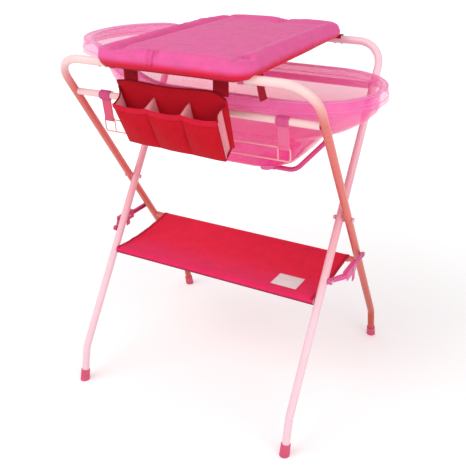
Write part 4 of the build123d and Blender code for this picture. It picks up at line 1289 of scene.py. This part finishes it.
class CHANGING_OT_shelf(Maker, bpy.types.Operator):
    """Build the cloth shelf, its hems and its bare patch"""

    bl_idname = "changing.shelf"
    bl_label = "Shelf"

    def line(self):
        """Line (y, z) of the cloth: round the front tube, over to the rear tube and round it."""
        wrap = self.front[1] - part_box("shelf_front_tube")[0].z + 0.0010
        start = arc(self.front, wrap, 305, 90, WRAP_POINTS)
        end = arc(self.rear, wrap, 90, -125, WRAP_POINTS)
        first, way = np.array(start[-1]), np.subtract(end[0], start[-1])
        span = []
        for t in np.linspace(0, 1, 26)[1:-1]:
            span.append(first + t * way - (0, 4 * self.sizes.sag * t * (1 - t)))
        return np.array([*start, *span, *end])

    def between(self, wrapped):
        """The line with only so many points left round each tube."""
        return self.path[WRAP_POINTS - wrapped:wrapped - WRAP_POINTS]

    def cloth_point(self, x, y, z, lift=0.0):
        """Point of the cloth with its folds and drawn-in sides."""
        share = ramp(y, self.front[0], self.rear[0])
        free = 4 * share * (1 - share)
        fold = self.sizes.ripple * free * self.wave(2.2 * x, 3.0 * share)
        pull = 0.6 * self.sizes.ripple * free * np.exp(-((np.abs(x) - self.half) / 0.05) ** 2)
        narrow = 1 - self.sizes.draw * free / self.half
        up = z + fold + pull * np.sin(9 * math.pi * share) + lift
        slid = self.sizes.shift * np.sqrt(share)
        return np.stack(np.broadcast_arrays(x * narrow + slid, y, up), axis=-1)

    def height(self, y):
        over = self.between(1)
        return np.interp(y, over[:, 0], over[:, 1])

    def finish(self):
        """Shelf cloth, whose colour changes towards its front edge and is darker under its front tube as
        painted shadow.
        """

        def near(made):
            return 1 - made.along("Y").band(self.front[0], 0.0)

        # Painted shadow under the front tube.
        def shaded(made):
            return 1 - made.along("Z").band(self.front[1] - 0.005, self.front[1] + 0.002)

        return cloth_finish(
            "shelf_cloth", self.sizes.cloth, other=self.sizes.front, split=near, shaded=shaded
        )

    def hems(self, finish):
        bindings = []
        for side in (-1, 1):
            strip = np.linspace(side * (self.half - self.sizes.hem_width), side * (self.half + 0.0004), 5)
            grid = np.array([self.cloth_point(strip, y, z) for y, z in self.between(4)])
            bindings.append(cloth("hem", grid, HEM_CLOTH, finish))
        return joined("shelf_hems", bindings)

    def seams(self, finish):
        """Stitches along the hems and beside both tubes."""
        lines = []
        for side in (-1, 1):
            x = np.array(side * (self.half - HEM_SEAM))
            lines.append([self.cloth_point(x, y, z + ON_HEM) for y, z in self.between(2)])
        for y in (self.front[0] + TUBE_SEAM, self.rear[0] - TUBE_SEAM):
            z = self.height(y) + ON_CLOTH
            lines.append([self.cloth_point(x, y, z) for x in np.linspace(-self.half, self.half, 60)])
        return stitches("shelf_stitches", lines, finish)

    def patch(self):
        """Plain patch, sewn on near the right front corner."""
        low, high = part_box("shelf_patch")
        finish = cloth_finish("patch_cloth", self.sizes.patch, pitch=0.0008)
        thread = cloth_finish("patch_thread", scaled(self.sizes.patch, 0.86), pitch=0.0006)
        across = np.linspace(low.x, high.x, 19)
        deep = np.linspace(low.y, high.y, 15)
        grid = np.array([self.cloth_point(across, y, self.height(y), PATCH_LIFT) for y in deep])
        inner = grid[1:-1, 1:-1] + [0, 0, ON_PATCH]
        seam = [inner[0], inner[:, -1], inner[-1][::-1], inner[::-1, 0]]
        piece = cloth("shelf_patch_cloth", grid, PATCH_CLOTH, finish)
        return piece, stitches("patch_stitches", seam, thread, length=0.0022, gap=0.0012)

    def execute(self, context):
        self.sizes = context.scene.changing_shelf
        self.front, self.rear = axis_of("shelf_front_tube"), axis_of("shelf_rear_tube")
        self.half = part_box("shelf_fabric")[1].x
        self.wave = soft_noise(31, 8, 2.6)
        self.path = self.line()
        hem = cloth_finish("shelf_hem_cloth", self.sizes.hem, pitch=0.0009)
        across = np.linspace(-self.half, self.half, 97)
        grid = np.array([self.cloth_point(across, y, z) for y, z in self.path])
        shelf = cloth("shelf_cloth", grid, SHELF_CLOTH, self.finish())
        hems = self.hems(hem)
        sewn = self.seams(hem)
        patch, patch_seam = self.patch()
        for piece, slot in ((shelf, "shelf_cloth"), (hems, "shelf_cloth"), (sewn, "shelf_cloth"),
                            (patch, "patch_cloth"), (patch_seam, "patch_cloth")):
            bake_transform(piece)
        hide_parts("shelf_fabric")
        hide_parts("shelf_patch")
        return {"FINISHED"}


class CHANGING_OT_stage(Maker, bpy.types.Operator):
    """Set the floor, light and camera"""

    bl_idname = "changing.stage"
    bl_label = "Stage"

    def execute(self, context):
        scene = context.scene
        stage = scene.changing_stage
        scene.view_settings.view_transform = "Standard"
        self.floor(stage)
        self.world(stage)
        self.lamp("key_lamp", stage.key_place, stage.aim, stage.key_width, stage.key)
        self.lamp("fill_lamp", stage.fill_place, stage.aim, stage.fill_width, stage.fill)
        lens = bpy.data.cameras.new("camera")
        lens.lens = stage.lens
        lens.sensor_width = 36.0
        lens.shift_y = stage.shift
        lens.clip_end = 50.0
        camera = bpy.data.objects.new("camera", lens)
        camera.matrix_world = (
            Matrix.Translation(stage.camera)
            @ Matrix.Rotation(stage.turn, 4, "Z")
            @ Matrix.Rotation(math.pi / 2 - stage.dip, 4, "X")
            @ Matrix.Rotation(stage.roll, 4, "Z")
        )
        scene.collection.objects.link(camera)
        scene.camera = camera
        return {"FINISHED"}

    def floor(self, stage, reach=14.0, level=-0.0005, near=0.5, far=2.6):
        """Large pale floor that shows the object's shadow."""
        made = Finish("floor", Roughness=0.9, Specular_IOR_Level=0.1, Emission_Strength=1.0)
        made.set("Base Color", made.tone(made.noise(0.4), (0.97, 0.97, 0.97), 0.995, 1.0))
        away = made.node("VectorMath", {"operation": "LENGTH"}, {0: made.point}, output="Value")
        made.set("Emission Color", made.seen() * away.band(near, far, stage.lift, stage.far_lift))
        corners = [(x * reach, y * reach, level) for x, y in ((-1, -1), (1, -1), (1, 1), (-1, 1))]
        floor = rest_on(corners, "floor", [(0, 1, 2, 3)], made.owner)

    def world(self, stage):
        """Even light, with a pale ground behind the object."""
        sky = Nodes(bpy.data.worlds.new("studio"), "Background", {"Color": (0.8, 0.8, 0.8, 1)})
        sky.set("Strength", sky.seen() * (1 - stage.sky) + stage.sky)
        bpy.context.scene.world = sky.owner

    def lamp(self, name, spot, aim, width, power):
        light = bpy.data.lights.new(name, "AREA")
        light.size = width
        light.energy = power
        lamp = bpy.data.objects.new(name, light)
        lamp.location = spot
        lamp.rotation_mode = "QUATERNION"
        lamp.rotation_quaternion = (Vector(aim) - Vector(spot)).to_track_quat("-Z", "Y")
        bpy.context.scene.collection.objects.link(lamp)


OPERATORS = (
    CHANGING_OT_stage, CHANGING_OT_frame, CHANGING_OT_fittings, CHANGING_OT_tub, CHANGING_OT_mat,
    CHANGING_OT_straps, CHANGING_OT_bag, CHANGING_OT_shelf,
)


class CHANGING_PT_panel(bpy.types.Panel):
    """Lists the pieces in the 3D view's sidebar"""

    bl_idname = "CHANGING_PT_panel"
    bl_label = "Changing table"
    bl_space_type = "VIEW_3D"
    bl_region_type = "UI"
    bl_category = "Changing table"

    def draw(self, context):
        for operator in OPERATORS:
            self.layout.operator(operator.bl_idname)


SETTINGS = {
    "changing_paint": PaintSettings,
    "changing_plastic": PlasticSettings,
    "changing_tub": TubSettings,
    "changing_mat": MatSettings,
    "changing_bag": BagSettings,
    "changing_shelf": ShelfSettings,
    "changing_stage": StageSettings,
}


def register():
    for name, group in SETTINGS.items():
        bpy.utils.register_class(group)
        setattr(bpy.types.Scene, name, PointerProperty(type=group))
    for operator in OPERATORS:
        bpy.utils.register_class(operator)
    bpy.utils.register_class(CHANGING_PT_panel)


def unregister():
    bpy.utils.unregister_class(CHANGING_PT_panel)
    for operator in reversed(OPERATORS):
        bpy.utils.unregister_class(operator)
    for name, group in SETTINGS.items():
        delattr(bpy.types.Scene, name)
        bpy.utils.unregister_class(group)


def main():
    for thing in [o for o in bpy.data.objects if o.name in ("Cube", "Light", "Camera")]:
        bpy.data.objects.remove(thing)
    register()
    bpy.ops.changing.stage()
    bpy.ops.changing.frame()
    bpy.ops.changing.fittings()
    bpy.ops.changing.tub()
    bpy.ops.changing.mat()
    bpy.ops.changing.straps()
    bpy.ops.changing.bag()
    bpy.ops.changing.shelf()


if __name__ == "__main__":
    main()
